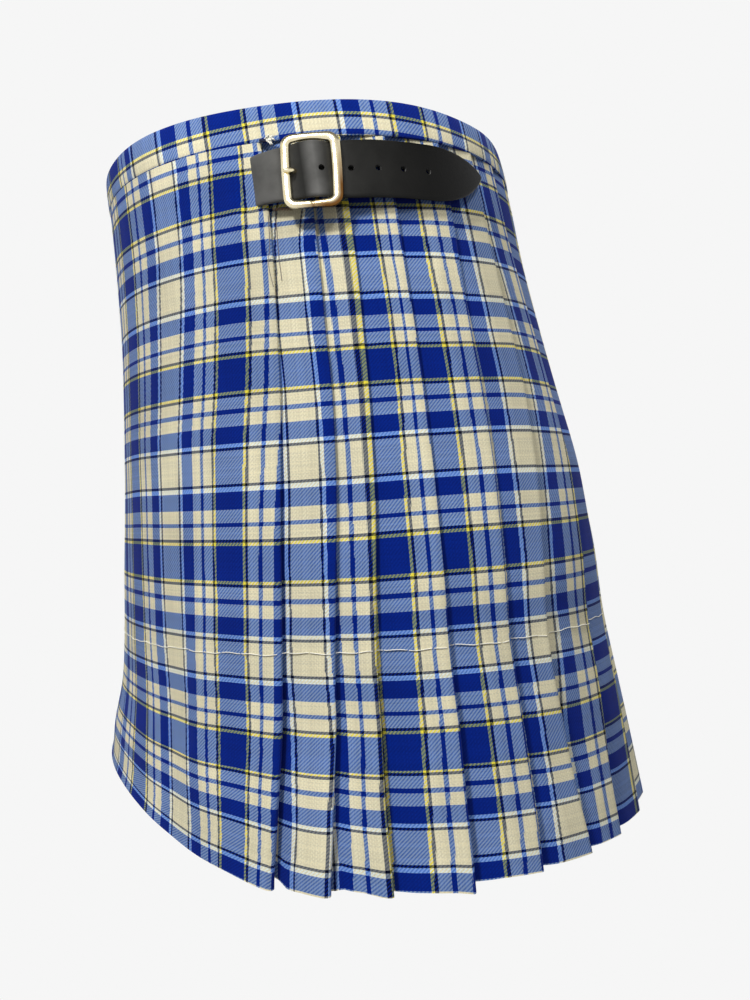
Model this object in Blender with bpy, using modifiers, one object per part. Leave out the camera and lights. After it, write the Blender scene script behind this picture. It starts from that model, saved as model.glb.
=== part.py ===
# A short Scottish kilt in its worn shape: one length of tartan wrapped round the hips, plain in front
# (outer apron over under apron) and knife-pleated from hip to hip behind, on a narrow waistband, with a
# leather strap and centre-bar buckle at each hip.
#
# Metres, +Z up. The wearer faces -Y, the wearer's left is +X, and the origin is the middle of the
# waist opening. A place on the cloth is given by three numbers: the arc round the level section at that
# drop, measured from the left side line towards the back; the height out from the cloth's own middle
# surface; and the drop below the waist edge.

from collections import namedtuple
from functools import lru_cache

import bmesh
import bpy
import numpy as np
from mathutils import Vector

CLOTH = 0.0013
BAND_THICKNESS = 0.0024
BAND_DEPTH = 0.0224
SEAM_GAP = 0.0003
BAND_SEAM = 0.0008  # between the band's lower edge and the cloth's upper one, which lean differently
LAP_GAP = 0.0009

# Level sections of the garment, top to bottom. Lengths in metres; square is the exponent of the
# superellipse (2 is an ellipse) in its front and back halves; rise is how far the section climbs
# towards the back for each metre, and front_lift how far its front is raised.
Section = namedtuple(
    "Section", "drop half_width half_depth back_shift front_square back_square rise front_lift"
)
SECTIONS = (
    Section(0.0000, 0.1505, 0.1277, 0.0000, 2.26, 2.27, 0.074, 0.000),
    Section(BAND_DEPTH, 0.1584, 0.1292, 0.0043, 2.22, 2.30, 0.070, 0.000),
    Section(0.0430, 0.1600, 0.1304, 0.0070, 2.18, 2.32, 0.066, 0.000),
    Section(0.0664, 0.1612, 0.1317, 0.0097, 2.15, 2.34, 0.064, 0.000),
    Section(0.1091, 0.1646, 0.1360, 0.0156, 2.08, 2.39, 0.057, 0.000),
    Section(0.1522, 0.1672, 0.1422, 0.0204, 2.00, 2.44, 0.050, 0.000),
    Section(0.2021, 0.1715, 0.1493, 0.0258, 1.92, 2.49, 0.043, 0.000),
    Section(0.2501, 0.1762, 0.1554, 0.0292, 1.85, 2.52, 0.036, 0.000),
    Section(0.2881, 0.1793, 0.1577, 0.0308, 1.82, 2.44, 0.031, 0.000),
    Section(0.3239, 0.1832, 0.1623, 0.0340, 1.80, 2.33, 0.025, 0.001),
    Section(0.3631, 0.1913, 0.1692, 0.0355, 1.78, 2.22, 0.019, 0.010),
    Section(0.3990, 0.2009, 0.1710, 0.0412, 1.76, 2.10, 0.013, 0.023),
)
RING_SAMPLES = 720
RING_SOFTENING = 9  # samples each way that round off the section's tightest bends

# Outer fold edges of the apron (row 0) and of the pleats on the left side, as arcs at four drops.
Fold = namedtuple("Fold", "waist hip thigh hem")
FOLD_DROPS = (BAND_DEPTH, 0.1480, 0.3060, 0.3990)
LEFT_FOLDS = (
    Fold(0.002, -0.007, -0.019, -0.030),
    Fold(0.023, 0.0195, 0.008, -0.001),
    Fold(0.038, 0.035, 0.031, 0.030),
    Fold(0.066, 0.066, 0.068, 0.071),
    Fold(0.096, 0.102, 0.103, 0.111),
    Fold(0.129, 0.136, 0.130, 0.149),
    Fold(0.160, 0.175, 0.170, 0.183),
    Fold(0.190, 0.208, 0.209, 0.224),
)
PLEATS = 18
UNDERLAP = 0.55  # how much of a pleat's width is folded back under it, from the hip down
UNDERLAP_AT_WAIST = 0.15
LEAST_UNDERLAP = 0.0030
LAYER_PITCH_TOP = 0.0018  # from one layer's middle to the next, where the pleats are sewn down
LAYER_PITCH_HEM = 0.0042
SEWN_TO = 0.150
PANEL_CLEARANCE = 0.0015
PANEL_BULGE_TOP = 0.15
PANEL_BULGE_HEM = 0.50
PIECE_PLEATS = ((1, 6), (7, 12), (13, 18))

APRON_STATIONS = 38
UNDER_STATIONS = 30
BAND_STATIONS = 110
APRON_LAP = 0.008  # how far the apron's free edge lies over the last pleat
LAP_RUN = 0.025  # arc over which a lapped layer comes back to its own level
UNDER_LEVEL = 0.0046  # the under apron's middle, in from the outer apron's
UNDER_END = 0.006

STRAP_THICKNESS = 0.0020
STRAP_HALF = 0.0145
STRAP_HALF_AT_SLIT = 0.0126
STRAP_DROP = 0.0408
STRAP_TIP_RISE = 0.0045
STRAP_TIP_FROM = 0.071
STRAP_TIP_LENGTH = 0.037
TIP_STATIONS = 9
CHAPE_THICKNESS = 0.0015
CHAPE_HALF = 0.0125
CHAPE_END = 0.032
HOLE_RADIUS = 0.0016
HOLES = (-0.0085, 0.0052, 0.0199, 0.0346, 0.0493, 0.0640)
SLIT_CLEARANCE = 0.00035

LEFT_BUCKLE_AT = 0.0240
RIGHT_BUCKLE_AT = 0.0480  # further back, clear of the apron's free edge
BUCKLE_HALF_WIDTH = 0.0138
BUCKLE_HALF_HEIGHT = 0.0170
BUCKLE_CORNER = 0.0034
FRAME_RADIUS = 0.0022
FRAME_HEIGHT = 0.0077
BAR_RADIUS = 0.0012
BAR_HEIGHT = 0.0048
PRONG_RADIUS = 0.0010

# Routes in section of the middle of a strap, a chape and a prong: arc from the buckle's middle, height.
STRAP_OVER_BUCKLE = (
    (-0.0203, 0.00230), (-0.0173, 0.00250), (-0.0138, 0.00330), (-0.0113, 0.00460), (-0.0085, 0.00640),
    (-0.0055, 0.00820), (-0.0028, 0.00920), (0.0000, 0.00950), (0.0029, 0.00910), (0.0057, 0.00790),
    (0.0082, 0.00620), (0.0107, 0.00470), (0.0132, 0.00415), (0.0167, 0.00410), (0.0257, 0.00410),
    (0.0337, 0.00400), (0.0417, 0.00270), (0.0497, 0.00230), (0.0570, 0.00230), (0.0640, 0.00230),
)
STRAP_THROUGH_SLIT = (
    (-0.0663, -0.00220), (-0.0563, -0.00220), (-0.0463, -0.00220), (-0.0340, -0.00220), (-0.0275, 0.00220),
)
STRAP_ON_APRON = ((-0.0663, 0.00240), (-0.0563, 0.00340), (-0.0463, 0.00445), (-0.0343, 0.00445))
CHAPE_ROUTE = (
    (CHAPE_END, 0.00200), (0.0247, 0.00200), (0.0177, 0.00200), (0.0107, 0.00200), (0.0047, 0.00200),
    (0.0022, 0.00205), (0.0000, 0.00240), (-0.0017, 0.00310), (-0.0024, 0.00480), (-0.0017, 0.00650),
    (0.0000, 0.00720), (0.0017, 0.00650), (0.0027, 0.00520), (0.0037, 0.00430), (0.0055, 0.00395),
)
PRONG_ROUTE = (
    (-0.0015, 0.0048), (-0.0058, 0.0045), (-0.0075, 0.0048), (-0.0085, 0.0064), (-0.0093, 0.0084),
    (-0.0107, 0.0103), (-0.0143, 0.0112),
)
PRONG_SLOT_ROUTE = ((-0.0048, 0.0048), (-0.0001, 0.0048))
PRONG_SLOT_DEPTH = 0.0064

BLUE_TARTAN = ("blue_tartan_cloth", (0.20, 0.27, 0.52), 0.92, 0.0)
BLACK_LEATHER = ("black_leather", (0.018, 0.017, 0.018), 0.50, 0.0)
PALE_BRASS = ("pale_brass", (0.86, 0.78, 0.56), 0.28, 1.0)


# ---------------------------------------------------------------- scene and materials

def clear_scene():
    for obj in list(bpy.data.objects):
        bpy.data.objects.remove(obj, do_unlink=True)


def new_collection(name):
    collection = bpy.data.collections.new(name)
    bpy.context.scene.collection.children.link(collection)
    return collection


def make_material(look):
    name, colour, roughness, metallic = look
    material = bpy.data.materials.new(name)
    material.use_nodes = True
    shader = material.node_tree.nodes["Principled BSDF"]
    shader.inputs["Base Color"].default_value = (*colour, 1.0)
    shader.inputs["Roughness"].default_value = roughness
    shader.inputs["Metallic"].default_value = metallic
    return material


# ---------------------------------------------------------------- the garment's level sections

def section_at(drop):
    drops = [row.drop for row in SECTIONS]
    return Section(*(np.interp(drop, drops, [row[i] for row in SECTIONS]) for i in range(len(SECTIONS[0]))))


# Closed level section at a drop: arcs, x, y and outward normals, from the left side line to the back.
@lru_cache(maxsize=None)
def ring(drop):
    row = section_at(drop)
    angle = np.linspace(0, 2 * np.pi, RING_SAMPLES, endpoint=False)
    cos, sin = np.cos(angle), np.sin(angle)
    power = np.where(sin < 0, 2 / row.front_square, 2 / row.back_square)
    x = row.half_width * np.sign(cos) * np.abs(cos) ** power
    y = row.back_shift + row.half_depth * np.sign(sin) * np.abs(sin) ** power
    reach = np.arange(-2 * RING_SOFTENING, 2 * RING_SOFTENING + 1)
    weights = np.exp(-0.5 * (reach / RING_SOFTENING) ** 2)
    weights /= weights.sum()
    x = sum(w * np.roll(x, k) for w, k in zip(weights, reach))
    y = sum(w * np.roll(y, k) for w, k in zip(weights, reach))
    x, y = np.append(x, x[0]), np.append(y, y[0])
    arc = np.concatenate(([0.0], np.cumsum(np.hypot(np.diff(x), np.diff(y)))))
    dx, dy = np.gradient(x, arc), np.gradient(y, arc)
    length = np.hypot(dx, dy)
    return arc, x, y, dy / length, -dx / length


def girth(drop):
    return ring(drop)[0][-1]


# The right side line's arc, which is the length of the back half.
def right_line(drop):
    return ring(drop)[0][RING_SAMPLES // 2]


# World point at an arc, height out from the cloth's middle and drop. On the right, side = -1, the arc
# runs from the right side line towards the back.
def place(arc, height, drop, side=1):
    arcs, x, y, nx, ny = ring(round(float(drop), 5))
    at = arc % arcs[-1]
    px = np.interp(at, arcs, x) + height * np.interp(at, arcs, nx)
    py = np.interp(at, arcs, y) + height * np.interp(at, arcs, ny)
    row = section_at(drop)
    forward = np.clip((row.back_shift - py) / row.half_depth, 0, 1)
    return Vector((side * px, py, -drop + row.rise * py + row.front_lift * forward**1.2))


# ---------------------------------------------------------------- pleats

# Outer fold edge of pleat number k (0 is the apron's own) at a drop. Past the table the pleats are
# evenly spaced, to a last one that mirrors the apron's edge.
def fold_edge(k, drop):
    if k < len(LEFT_FOLDS):
        return float(np.interp(drop, FOLD_DROPS, LEFT_FOLDS[k]))
    first = fold_edge(len(LEFT_FOLDS) - 1, drop)
    last = right_line(drop) - fold_edge(0, drop)
    return first + (last - first) * (k - len(LEFT_FOLDS) + 1) / (PLEATS - len(LEFT_FOLDS) + 1)


def looseness(drop):
    lowest = SECTIONS[-1].drop
    return max(0.0, (drop - SEWN_TO) / (lowest - SEWN_TO)) ** 1.4


def layer_pitch(drop):
    return LAYER_PITCH_TOP + (LAYER_PITCH_HEM - LAYER_PITCH_TOP) * looseness(drop)


def pleat_width(k, drop):
    if k == 0:
        return fold_edge(1, drop) - fold_edge(0, drop)
    return fold_edge(k, drop) - fold_edge(k - 1, drop)


def underlap(k, drop):
    share = np.interp(drop, (SECTIONS[1].drop, SEWN_TO), (UNDERLAP_AT_WAIST, UNDERLAP))
    return max(LEAST_UNDERLAP, share * pleat_width(k, drop))


# Depth of the return leg's inner end, clear of the panel that it lies under.
def return_depth(k, drop):
    pitch = layer_pitch(drop)
    run = pleat_width(k, drop) - PANEL_CLEARANCE
    return pitch + 2 * pitch * min(1.0, underlap(k, drop) / run) if k else 2.2 * pitch


# The stations of one pleat at a drop, as (arc, depth in), from where it leaves the fold before it.
def pleat_stations(k, drop):
    pitch = layer_pitch(drop)
    before = fold_edge(k - 1, drop)
    edge = fold_edge(k, drop)
    inner = before - underlap(k - 1, drop)
    start = before + PANEL_CLEARANCE
    bulge = PANEL_BULGE_TOP + (PANEL_BULGE_HEM - PANEL_BULGE_TOP) * looseness(drop)
    return (
        (inner, return_depth(k - 1, drop) + pitch),
        (start, 2 * pitch),
        (start + 0.45 * (edge - start), 1.1 * pitch * (1 - bulge)),
        *fold_stations(k, drop),
    )


def fold_stations(k, drop):
    edge = fold_edge(k, drop)
    return (
        (edge, 0.0),
        (edge, layer_pitch(drop)),
        (edge - underlap(k, drop), return_depth(k, drop)),
    )


# Where a new piece begins, under the piece before it, whose last fold is number k.
def seam_station(k, drop):
    return (fold_edge(k, drop) - underlap(k, drop), return_depth(k, drop) + CLOTH / 2 + SEAM_GAP)


# ---------------------------------------------------------------- objects

def add_mesh(name, points, faces, material, collection):
    mesh = bpy.data.meshes.new(name)
    mesh.from_pydata([tuple(p) for p in points], [], faces)
    mesh.update()
    obj = bpy.data.objects.new(name, mesh)
    obj.data.materials.append(material)
    collection.objects.link(obj)
    return obj


# Open sheet through rows of points, made into a wall of even thickness about them.
def make_wall(name, rows, thickness, material, collection):
    across = len(rows[0])
    points = [p for row in rows for p in row]
    faces = [
        (i * across + j, i * across + j + 1, (i + 1) * across + j + 1, (i + 1) * across + j)
        for i in range(len(rows) - 1)
        for j in range(across - 1)
    ]
    obj = add_mesh(name, points, faces, material, collection)
    solidify = obj.modifiers.new("thickness", "SOLIDIFY")
    solidify.thickness = thickness
    solidify.offset = 0.0
    solidify.use_even_offset = True
    return obj


# Round rod along a route of points; a closed route makes a ring.
def make_rod(name, points, radius, material, collection, closed=False):
    curve = bpy.data.curves.new(name, "CURVE")
    curve.dimensions = "3D"
    curve.bevel_depth = radius
    curve.bevel_resolution = 2
    curve.use_fill_caps = not closed
    spline = curve.splines.new("POLY")
    spline.points.add(len(points) - 1)
    for target, point in zip(spline.points, points):
        target.co = (*point, 1.0)
    spline.use_cyclic_u = closed
    obj = bpy.data.objects.new(name, curve)
    curve.materials.append(material)
    collection.objects.link(obj)
    return obj


# Mesh object in place of a curve object, its loose caps welded.
def as_mesh(obj, collection):
    bpy.context.view_layer.update()
    graph = bpy.context.evaluated_depsgraph_get()
    mesh = bpy.data.meshes.new_from_object(obj.evaluated_get(graph))
    name, matrix = obj.name, obj.matrix_world.copy()
    shape = bmesh.new()
    shape.from_mesh(mesh)
    bmesh.ops.remove_doubles(shape, verts=shape.verts, dist=1e-6)
    shape.to_mesh(mesh)
    shape.free()
    bpy.data.objects.remove(obj, do_unlink=True)
    made = bpy.data.objects.new(name, mesh)
    made.matrix_world = matrix
    collection.objects.link(made)
    return made


def cut(obj, cutter):
    boolean = obj.modifiers.new("cut_" + cutter.name, "BOOLEAN")
    boolean.operation = "DIFFERENCE"
    boolean.object = cutter
    cutter.hide_render = True
    cutter.display_type = "WIRE"


def wall_drops():
    return [BAND_DEPTH + BAND_SEAM / 2] + [row.drop for row in SECTIONS if row.drop > BAND_DEPTH]


# ---------------------------------------------------------------- cloth

# How far out the outer layer's middle lies, where its free edge laps over the last pleat: lap is the arc
# past that pleat's fold edge.
def lap_height(lap, raised):
    return raised * (1 - np.clip(lap / LAP_RUN, 0, 1))


def make_outer_apron(material, collection):
    rows = []
    for drop in wall_drops():
        last = fold_edge(PLEATS, drop) - girth(drop)
        plain = np.linspace(last + LAP_RUN, fold_edge(0, drop), APRON_STATIONS)
        arcs = np.concatenate((last + np.array((-APRON_LAP, 0.001, LAP_RUN / 2)), plain))
        row = [place(arc, lap_height(arc - last, CLOTH + LAP_GAP), drop) for arc in arcs[:-1]]
        row += [place(arc, -depth, drop) for arc, depth in fold_stations(0, drop)]
        rows.append(row)
    return make_wall("outer_apron", rows, CLOTH, material, collection)


def make_pleats(name, first, last, material, collection):
    rows = []
    for drop in wall_drops():
        stations = [seam_station(first - 1, drop)]
        for k in range(first, last + 1):
            stations += pleat_stations(k, drop)
        rows.append([place(arc, -depth, drop) for arc, depth in stations])
    return make_wall(name, rows, CLOTH, material, collection)


def make_under_apron(material, collection):
    rows = []
    for drop in wall_drops():
        pitch = layer_pitch(drop)
        edge = fold_edge(PLEATS, drop)
        stations = [seam_station(PLEATS, drop)]
        stations.append((edge - underlap(PLEATS, drop), return_depth(PLEATS, drop) + pitch))
        stations.append((edge + PANEL_CLEARANCE, 2 * pitch))
        end = girth(drop) + fold_edge(0, drop) - underlap(0, drop) - UNDER_END
        stations += [(arc, UNDER_LEVEL) for arc in np.linspace(edge + LAP_RUN, end, UNDER_STATIONS)]
        rows.append([place(arc, -depth, drop) for arc, depth in stations])
    return make_wall("under_apron", rows, CLOTH, material, collection)


# One strip, a turn and nearly a half long: over the apron, round the back and on inside the front.
def make_waistband(material, collection):
    rows = []
    for drop in (0.0, BAND_DEPTH / 2, BAND_DEPTH - BAND_SEAM / 2):
        around = girth(drop)
        last = fold_edge(PLEATS, drop)
        start = last - around - APRON_LAP
        end = around + fold_edge(0, drop) - 2 * UNDER_END
        row = []
        for arc in np.linspace(start, end, BAND_STATIONS):
            if arc < 0:
                height = lap_height(arc - last + around, BAND_THICKNESS + LAP_GAP)
            else:
                height = -UNDER_LEVEL * np.clip((arc - last) / LAP_RUN, 0, 1)
            row.append(place(arc, height, drop))
        rows.append(row)
    return make_wall("waistband", rows, BAND_THICKNESS, material, collection)


# ---------------------------------------------------------------- straps and buckles

def strap_half(arc):
    into_tip = np.clip((arc - STRAP_TIP_FROM) / STRAP_TIP_LENGTH, 0, 1)
    half = np.interp(arc, (-0.026, -0.004), (STRAP_HALF_AT_SLIT, STRAP_HALF))
    return half * np.sqrt(max(1 - into_tip**2, 0.002))


def strap_drop(arc):
    return STRAP_DROP - STRAP_TIP_RISE * np.clip((arc - 0.06) / 0.048, 0, 1) ** 2


def strap_route(start):
    turns = np.linspace(0, np.pi / 2, TIP_STATIONS)
    height = STRAP_OVER_BUCKLE[-1][1]
    tip = [(STRAP_TIP_FROM + STRAP_TIP_LENGTH * np.sin(turn), height) for turn in turns]
    return list(start) + list(STRAP_OVER_BUCKLE) + tip


# Ribbon of leather along a route in section from the buckle's middle, as wide as half says each way.
def make_ribbon(name, route, thickness, half, side, buckle_at, material, collection):
    rows = [
        [place(buckle_at + arc, height, strap_drop(arc) + end * half(arc), side) for arc, height in route]
        for end in (-1, 0, 1)
    ]
    return make_wall(name, rows, thickness, material, collection)


def make_hole_cutter(name, side, buckle_at, collection):
    shape = bmesh.new()
    for arc in HOLES:
        low = place(buckle_at + arc, -0.0003, STRAP_DROP, side)
        high = place(buckle_at + arc, 0.0150, STRAP_DROP, side)
        turn = (high - low).to_track_quat("Z", "Y").to_matrix().to_4x4()
        turn.translation = (low + high) / 2
        bmesh.ops.create_cone(
            shape, cap_ends=True, segments=12, radius1=HOLE_RADIUS, radius2=HOLE_RADIUS,
            depth=(high - low).length, matrix=turn,
        )
    mesh = bpy.data.meshes.new(name)
    shape.to_mesh(mesh)
    shape.free()
    cutter = bpy.data.objects.new(name, mesh)
    collection.objects.link(cutter)
    return cutter


# Rounded rectangle of the buckle's frame, as (arc, drop) about its middle.
def frame_outline():
    points = []
    for quarter, (sx, sy) in enumerate(((1, 1), (-1, 1), (-1, -1), (1, -1))):
        for step in range(5):
            turn = np.pi / 2 * (quarter + step / 4)
            points.append((
                sx * (BUCKLE_HALF_WIDTH - BUCKLE_CORNER) + BUCKLE_CORNER * np.cos(turn),
                sy * (BUCKLE_HALF_HEIGHT - BUCKLE_CORNER) + BUCKLE_CORNER * np.sin(turn),
            ))
    return points


def make_buckle(word, side, at, metal, leather, collection, cutters):
    outline = [place(at + a, FRAME_HEIGHT, STRAP_DROP + d, side) for a, d in frame_outline()]
    frame = make_rod("buckle_frame_" + word, outline, FRAME_RADIUS, metal, collection, closed=True)
    frame = as_mesh(frame, collection)
    bent = BAR_HEIGHT + 0.0014
    ends = ((bent, -1), (BAR_HEIGHT, -0.86), (BAR_HEIGHT, 0), (BAR_HEIGHT, 0.86), (bent, 1))
    route = [place(at, height, STRAP_DROP + share * BUCKLE_HALF_HEIGHT, side) for height, share in ends]
    bar = as_mesh(make_rod("centre_bar_" + word, route, BAR_RADIUS, metal, cutters), cutters)
    bar.hide_render = True
    bar.display_type = "WIRE"
    union = frame.modifiers.new("centre_bar", "BOOLEAN")
    union.operation = "UNION"
    union.object = bar
    prong = [place(at + arc, height, STRAP_DROP, side) for arc, height in PRONG_ROUTE]
    make_rod("buckle_prong_" + word, prong, PRONG_RADIUS, metal, collection)
    chape = make_ribbon(
        "buckle_chape_" + word, CHAPE_ROUTE, CHAPE_THICKNESS, lambda arc: CHAPE_HALF,
        side, at, leather, collection,
    )
    slot = make_ribbon(
        "prong_slot_" + word, PRONG_SLOT_ROUTE, PRONG_SLOT_DEPTH, lambda arc: PRONG_RADIUS + 0.0006,
        side, at, leather, cutters,
    )
    cut(chape, slot)


def make_strap(word, side, at, start, leather, collection, cutters):
    route = strap_route(start)
    strap = make_ribbon("strap_" + word, route, STRAP_THICKNESS, strap_half, side, at, leather, collection)
    cut(strap, make_hole_cutter("holes_" + word, side, at, cutters))


def cut_slit(apron, at, material, cutters):
    through = make_ribbon(
        "strap_slit", STRAP_THROUGH_SLIT[-2:] + STRAP_OVER_BUCKLE[:1],
        STRAP_THICKNESS + 2 * SLIT_CLEARANCE, lambda arc: STRAP_HALF_AT_SLIT + SLIT_CLEARANCE,
        1, at, material, cutters,
    )
    cut(apron, through)


def main():
    clear_scene()
    collection = new_collection("kilt")
    cutters = new_collection("cutters")
    cloth = make_material(BLUE_TARTAN)
    leather = make_material(BLACK_LEATHER)
    metal = make_material(PALE_BRASS)

    apron = make_outer_apron(cloth, collection)
    names = ("pleats_left", "pleats_back", "pleats_right")
    for name, (first, last) in zip(names, PIECE_PLEATS):
        make_pleats(name, first, last, cloth, collection)
    make_under_apron(cloth, collection)
    make_waistband(cloth, collection)

    make_strap("left", 1, LEFT_BUCKLE_AT, STRAP_THROUGH_SLIT, leather, collection, cutters)
    make_buckle("left", 1, LEFT_BUCKLE_AT, metal, leather, collection, cutters)
    cut_slit(apron, LEFT_BUCKLE_AT, leather, cutters)
    make_strap("right", -1, RIGHT_BUCKLE_AT, STRAP_ON_APRON, leather, collection, cutters)
    make_buckle("right", -1, RIGHT_BUCKLE_AT, metal, leather, collection, cutters)


main()
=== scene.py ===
# A short Scottish kilt in the shape it has when it is worn: tartan cloth, narrow waistband, leather
# hip straps with centre-bar buckles. Metres, +Z up, the wearer's front at -Y and left hip at +X.

import bmesh
import bpy
import numpy as np
from mathutils import Matrix, Vector


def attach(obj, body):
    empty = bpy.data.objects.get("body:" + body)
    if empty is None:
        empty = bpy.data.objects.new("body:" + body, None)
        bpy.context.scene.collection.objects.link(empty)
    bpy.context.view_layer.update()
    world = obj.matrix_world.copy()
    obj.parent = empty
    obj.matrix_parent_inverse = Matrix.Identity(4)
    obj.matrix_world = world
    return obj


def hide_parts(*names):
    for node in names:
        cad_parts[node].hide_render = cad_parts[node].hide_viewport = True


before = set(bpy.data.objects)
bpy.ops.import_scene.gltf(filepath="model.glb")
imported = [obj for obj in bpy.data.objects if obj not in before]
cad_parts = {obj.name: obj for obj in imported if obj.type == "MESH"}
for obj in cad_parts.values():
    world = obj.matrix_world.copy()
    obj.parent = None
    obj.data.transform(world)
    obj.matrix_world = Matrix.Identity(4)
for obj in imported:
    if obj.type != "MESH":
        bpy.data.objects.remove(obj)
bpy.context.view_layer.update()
print("frame loaded")

thread = 0.000372  # width of one thread of the cloth


# Bell-shaped weights that add up to 1.
def bell(reach, spread):
    weights = np.exp(-0.5 * (np.arange(-reach, reach + 1) / spread) ** 2)
    return weights / weights.sum()


# Rounded hump, 1 in its middle: e to the power of minus the square of distance over reach.
def hump(distance, reach):
    return np.exp(-((distance / reach) ** 2))


def shareOf(value, first, last):
    return np.clip((value - first) / (last - first), 0, 1)


# Smooth step from 0 to 1: three times the square of the share less twice its cube.
def ease(value, first, last):
    share = shareOf(value, first, last)
    return share * share * (3 - 2 * share)


def unit(vectors):
    return vectors / np.maximum(np.linalg.norm(vectors, axis=-1, keepdims=True), 1e-12)


def lengthAlong(route):
    steps = np.linalg.norm(np.diff(route, axis=-2), axis=-1)
    return np.concatenate((0 * steps[..., :1], np.cumsum(steps, -1)), -1)


def tableAt(at, places, table):
    return np.stack([np.interp(at, places, column) for column in table.T], 1)


# A table's columns averaged over their neighbours with bell-shaped weights; past the ends the table is
# carried on as its own mirror image through the end value.
def evened(table, spread):
    reach = int(np.ceil(3 * spread))
    before = 2 * table[:1] - table[reach:0:-1]
    after = 2 * table[-1:] - table[-2:-reach - 2:-1]
    padded = np.concatenate((before, table, after))
    return np.stack([np.convolve(column, bell(reach, spread), "valid") for column in padded.T], 1)


# Superellipse: cos and sin, each to the power 2 over the squareness.
def squareTurn(turn, squareness):
    return [np.sign(a) * np.abs(a) ** (2 / squareness) for a in (np.cos(turn), np.sin(turn))]


# The form that everything lies on.
form = {
    # drop below the waist edge, half width, half depth, shift back, squareness in front and behind,
    # climb to the back, lift of the front, thread row
    "sections": np.array((
        (0.0000, 0.1505, 0.1277, 0.0000, 2.26, 2.27, 0.074, 0.000, -130),
        (0.0224, 0.1584, 0.1292, 0.0043, 2.22, 2.30, 0.070, 0.000, -65),
        (0.0430, 0.1600, 0.1304, 0.0070, 2.18, 2.32, 0.066, 0.000, -11),
        (0.0664, 0.1612, 0.1317, 0.0097, 2.15, 2.34, 0.064, 0.000, 50),
        (0.1091, 0.1646, 0.1360, 0.0156, 2.08, 2.39, 0.057, 0.000, 165),
        (0.1522, 0.1672, 0.1422, 0.0204, 2.00, 2.44, 0.050, 0.000, 283),
        (0.2021, 0.1715, 0.1493, 0.0258, 1.92, 2.49, 0.043, 0.000, 418),
        (0.2501, 0.1762, 0.1554, 0.0292, 1.85, 2.52, 0.036, 0.000, 541),
        (0.2881, 0.1793, 0.1577, 0.0308, 1.82, 2.44, 0.031, 0.000, 640),
        (0.3239, 0.1832, 0.1623, 0.0340, 1.80, 2.33, 0.025, 0.001, 740),
        (0.3631, 0.1913, 0.1692, 0.0355, 1.78, 2.22, 0.019, 0.010, 850),
        (0.3990, 0.2009, 0.1710, 0.0412, 1.76, 2.10, 0.013, 0.023, 962),
    )),
    "bandDepth": 0.0224,
    "step": 0.002,  # drop from one worked-out ring to the next
    "evening": 0.010,  # how far up and down a section's change is evened out
    "samples": 720,
    "rounding": 9,  # samples over which a ring's tightest bends are rounded off
    "liftPower": 1.2,
}


# The section table at even drops.
def evenSections():
    table = form["sections"]
    drops = np.linspace(0, table[-1, 0], int(table[-1, 0] / form["step"]) + 1)
    even = evened(tableAt(drops, table[:, 0], table), form["evening"] / form["step"])
    even[:, 0] = drops
    return even


# One superellipse for each drop, its front and back halves of their own squareness, then averaged
# along itself. Gives arcs from the left side line, and x, y and the outward normal's x and y.
def makeRings(table):
    turn = np.linspace(0, 2 * np.pi, form["samples"] + 1)
    cos, sin = squareTurn(turn, np.where(np.sin(turn) < 0, table[:, 4:5], table[:, 5:6]))
    rings = np.stack((table[:, 1:2] * cos, table[:, 3:4] + table[:, 2:3] * sin), -1)
    reach = 2 * form["rounding"]
    weights = zip(bell(reach, form["rounding"]), range(-reach, reach + 1))
    rings = sum(weight * np.roll(rings[:, :-1], shift, 1) for weight, shift in weights)
    rings = np.hstack((rings, rings[:, :1]))
    along = unit(np.gradient(rings, axis=1))
    return lengthAlong(rings), np.stack((*rings.T, along[..., 1].T, -along[..., 0].T)).transpose(0, 2, 1)


formTable = evenSections()
formDrops = formTable[:, 0]
ringArc, rings = makeRings(formTable)
ringGap = 10.0  # rings are laid end to end this far apart, so that one look-up serves them all
ringLine = (ringArc + ringGap * np.arange(len(formDrops))[:, None]).ravel()
ringColumns = rings.reshape(4, -1)


# Points at an arc round the form, a height out from it and a drop: the two nearest rings are looked up
# and mixed, then the height goes along the ring's normal and the ring's climb and lift give z. On the
# right, side = -1, arcs run from the right side line towards the back.
def place(arc, height, drop, side=1):
    arc, height, drop = (np.array(a, float) for a in np.broadcast_arrays(arc, height, drop))
    level = np.clip(drop / formDrops[1], 0, len(formDrops) - 1.0001)
    upper = level.astype(int)
    found = 0
    for ring, part in ((upper, 1 - level + upper), (upper + 1, level - upper)):
        at = np.mod(arc, ringArc[ring, -1]) + ringGap * ring
        found = found + part * np.stack([np.interp(at, ringLine, column) for column in ringColumns])
    x, y, normalX, normalY = found
    x, y = x + height * normalX, y + height * normalY
    depth, shift, climb, lift = (np.interp(drop, formDrops, formTable[:, i]) for i in (2, 3, 6, 7))
    forward = np.clip((shift - y) / depth, 0, 1)
    return np.stack((side * x, y, -drop + climb * y + lift * forward ** form["liftPower"]), -1)


def threadRow(drop):
    return np.interp(drop, formDrops, formTable[:, 8])


def girthAt(drop):
    return np.interp(drop, formDrops, ringArc[:, -1])


def rightLineAt(drop):
    return np.interp(drop, formDrops, ringArc[:, form["samples"] // 2])


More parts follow.
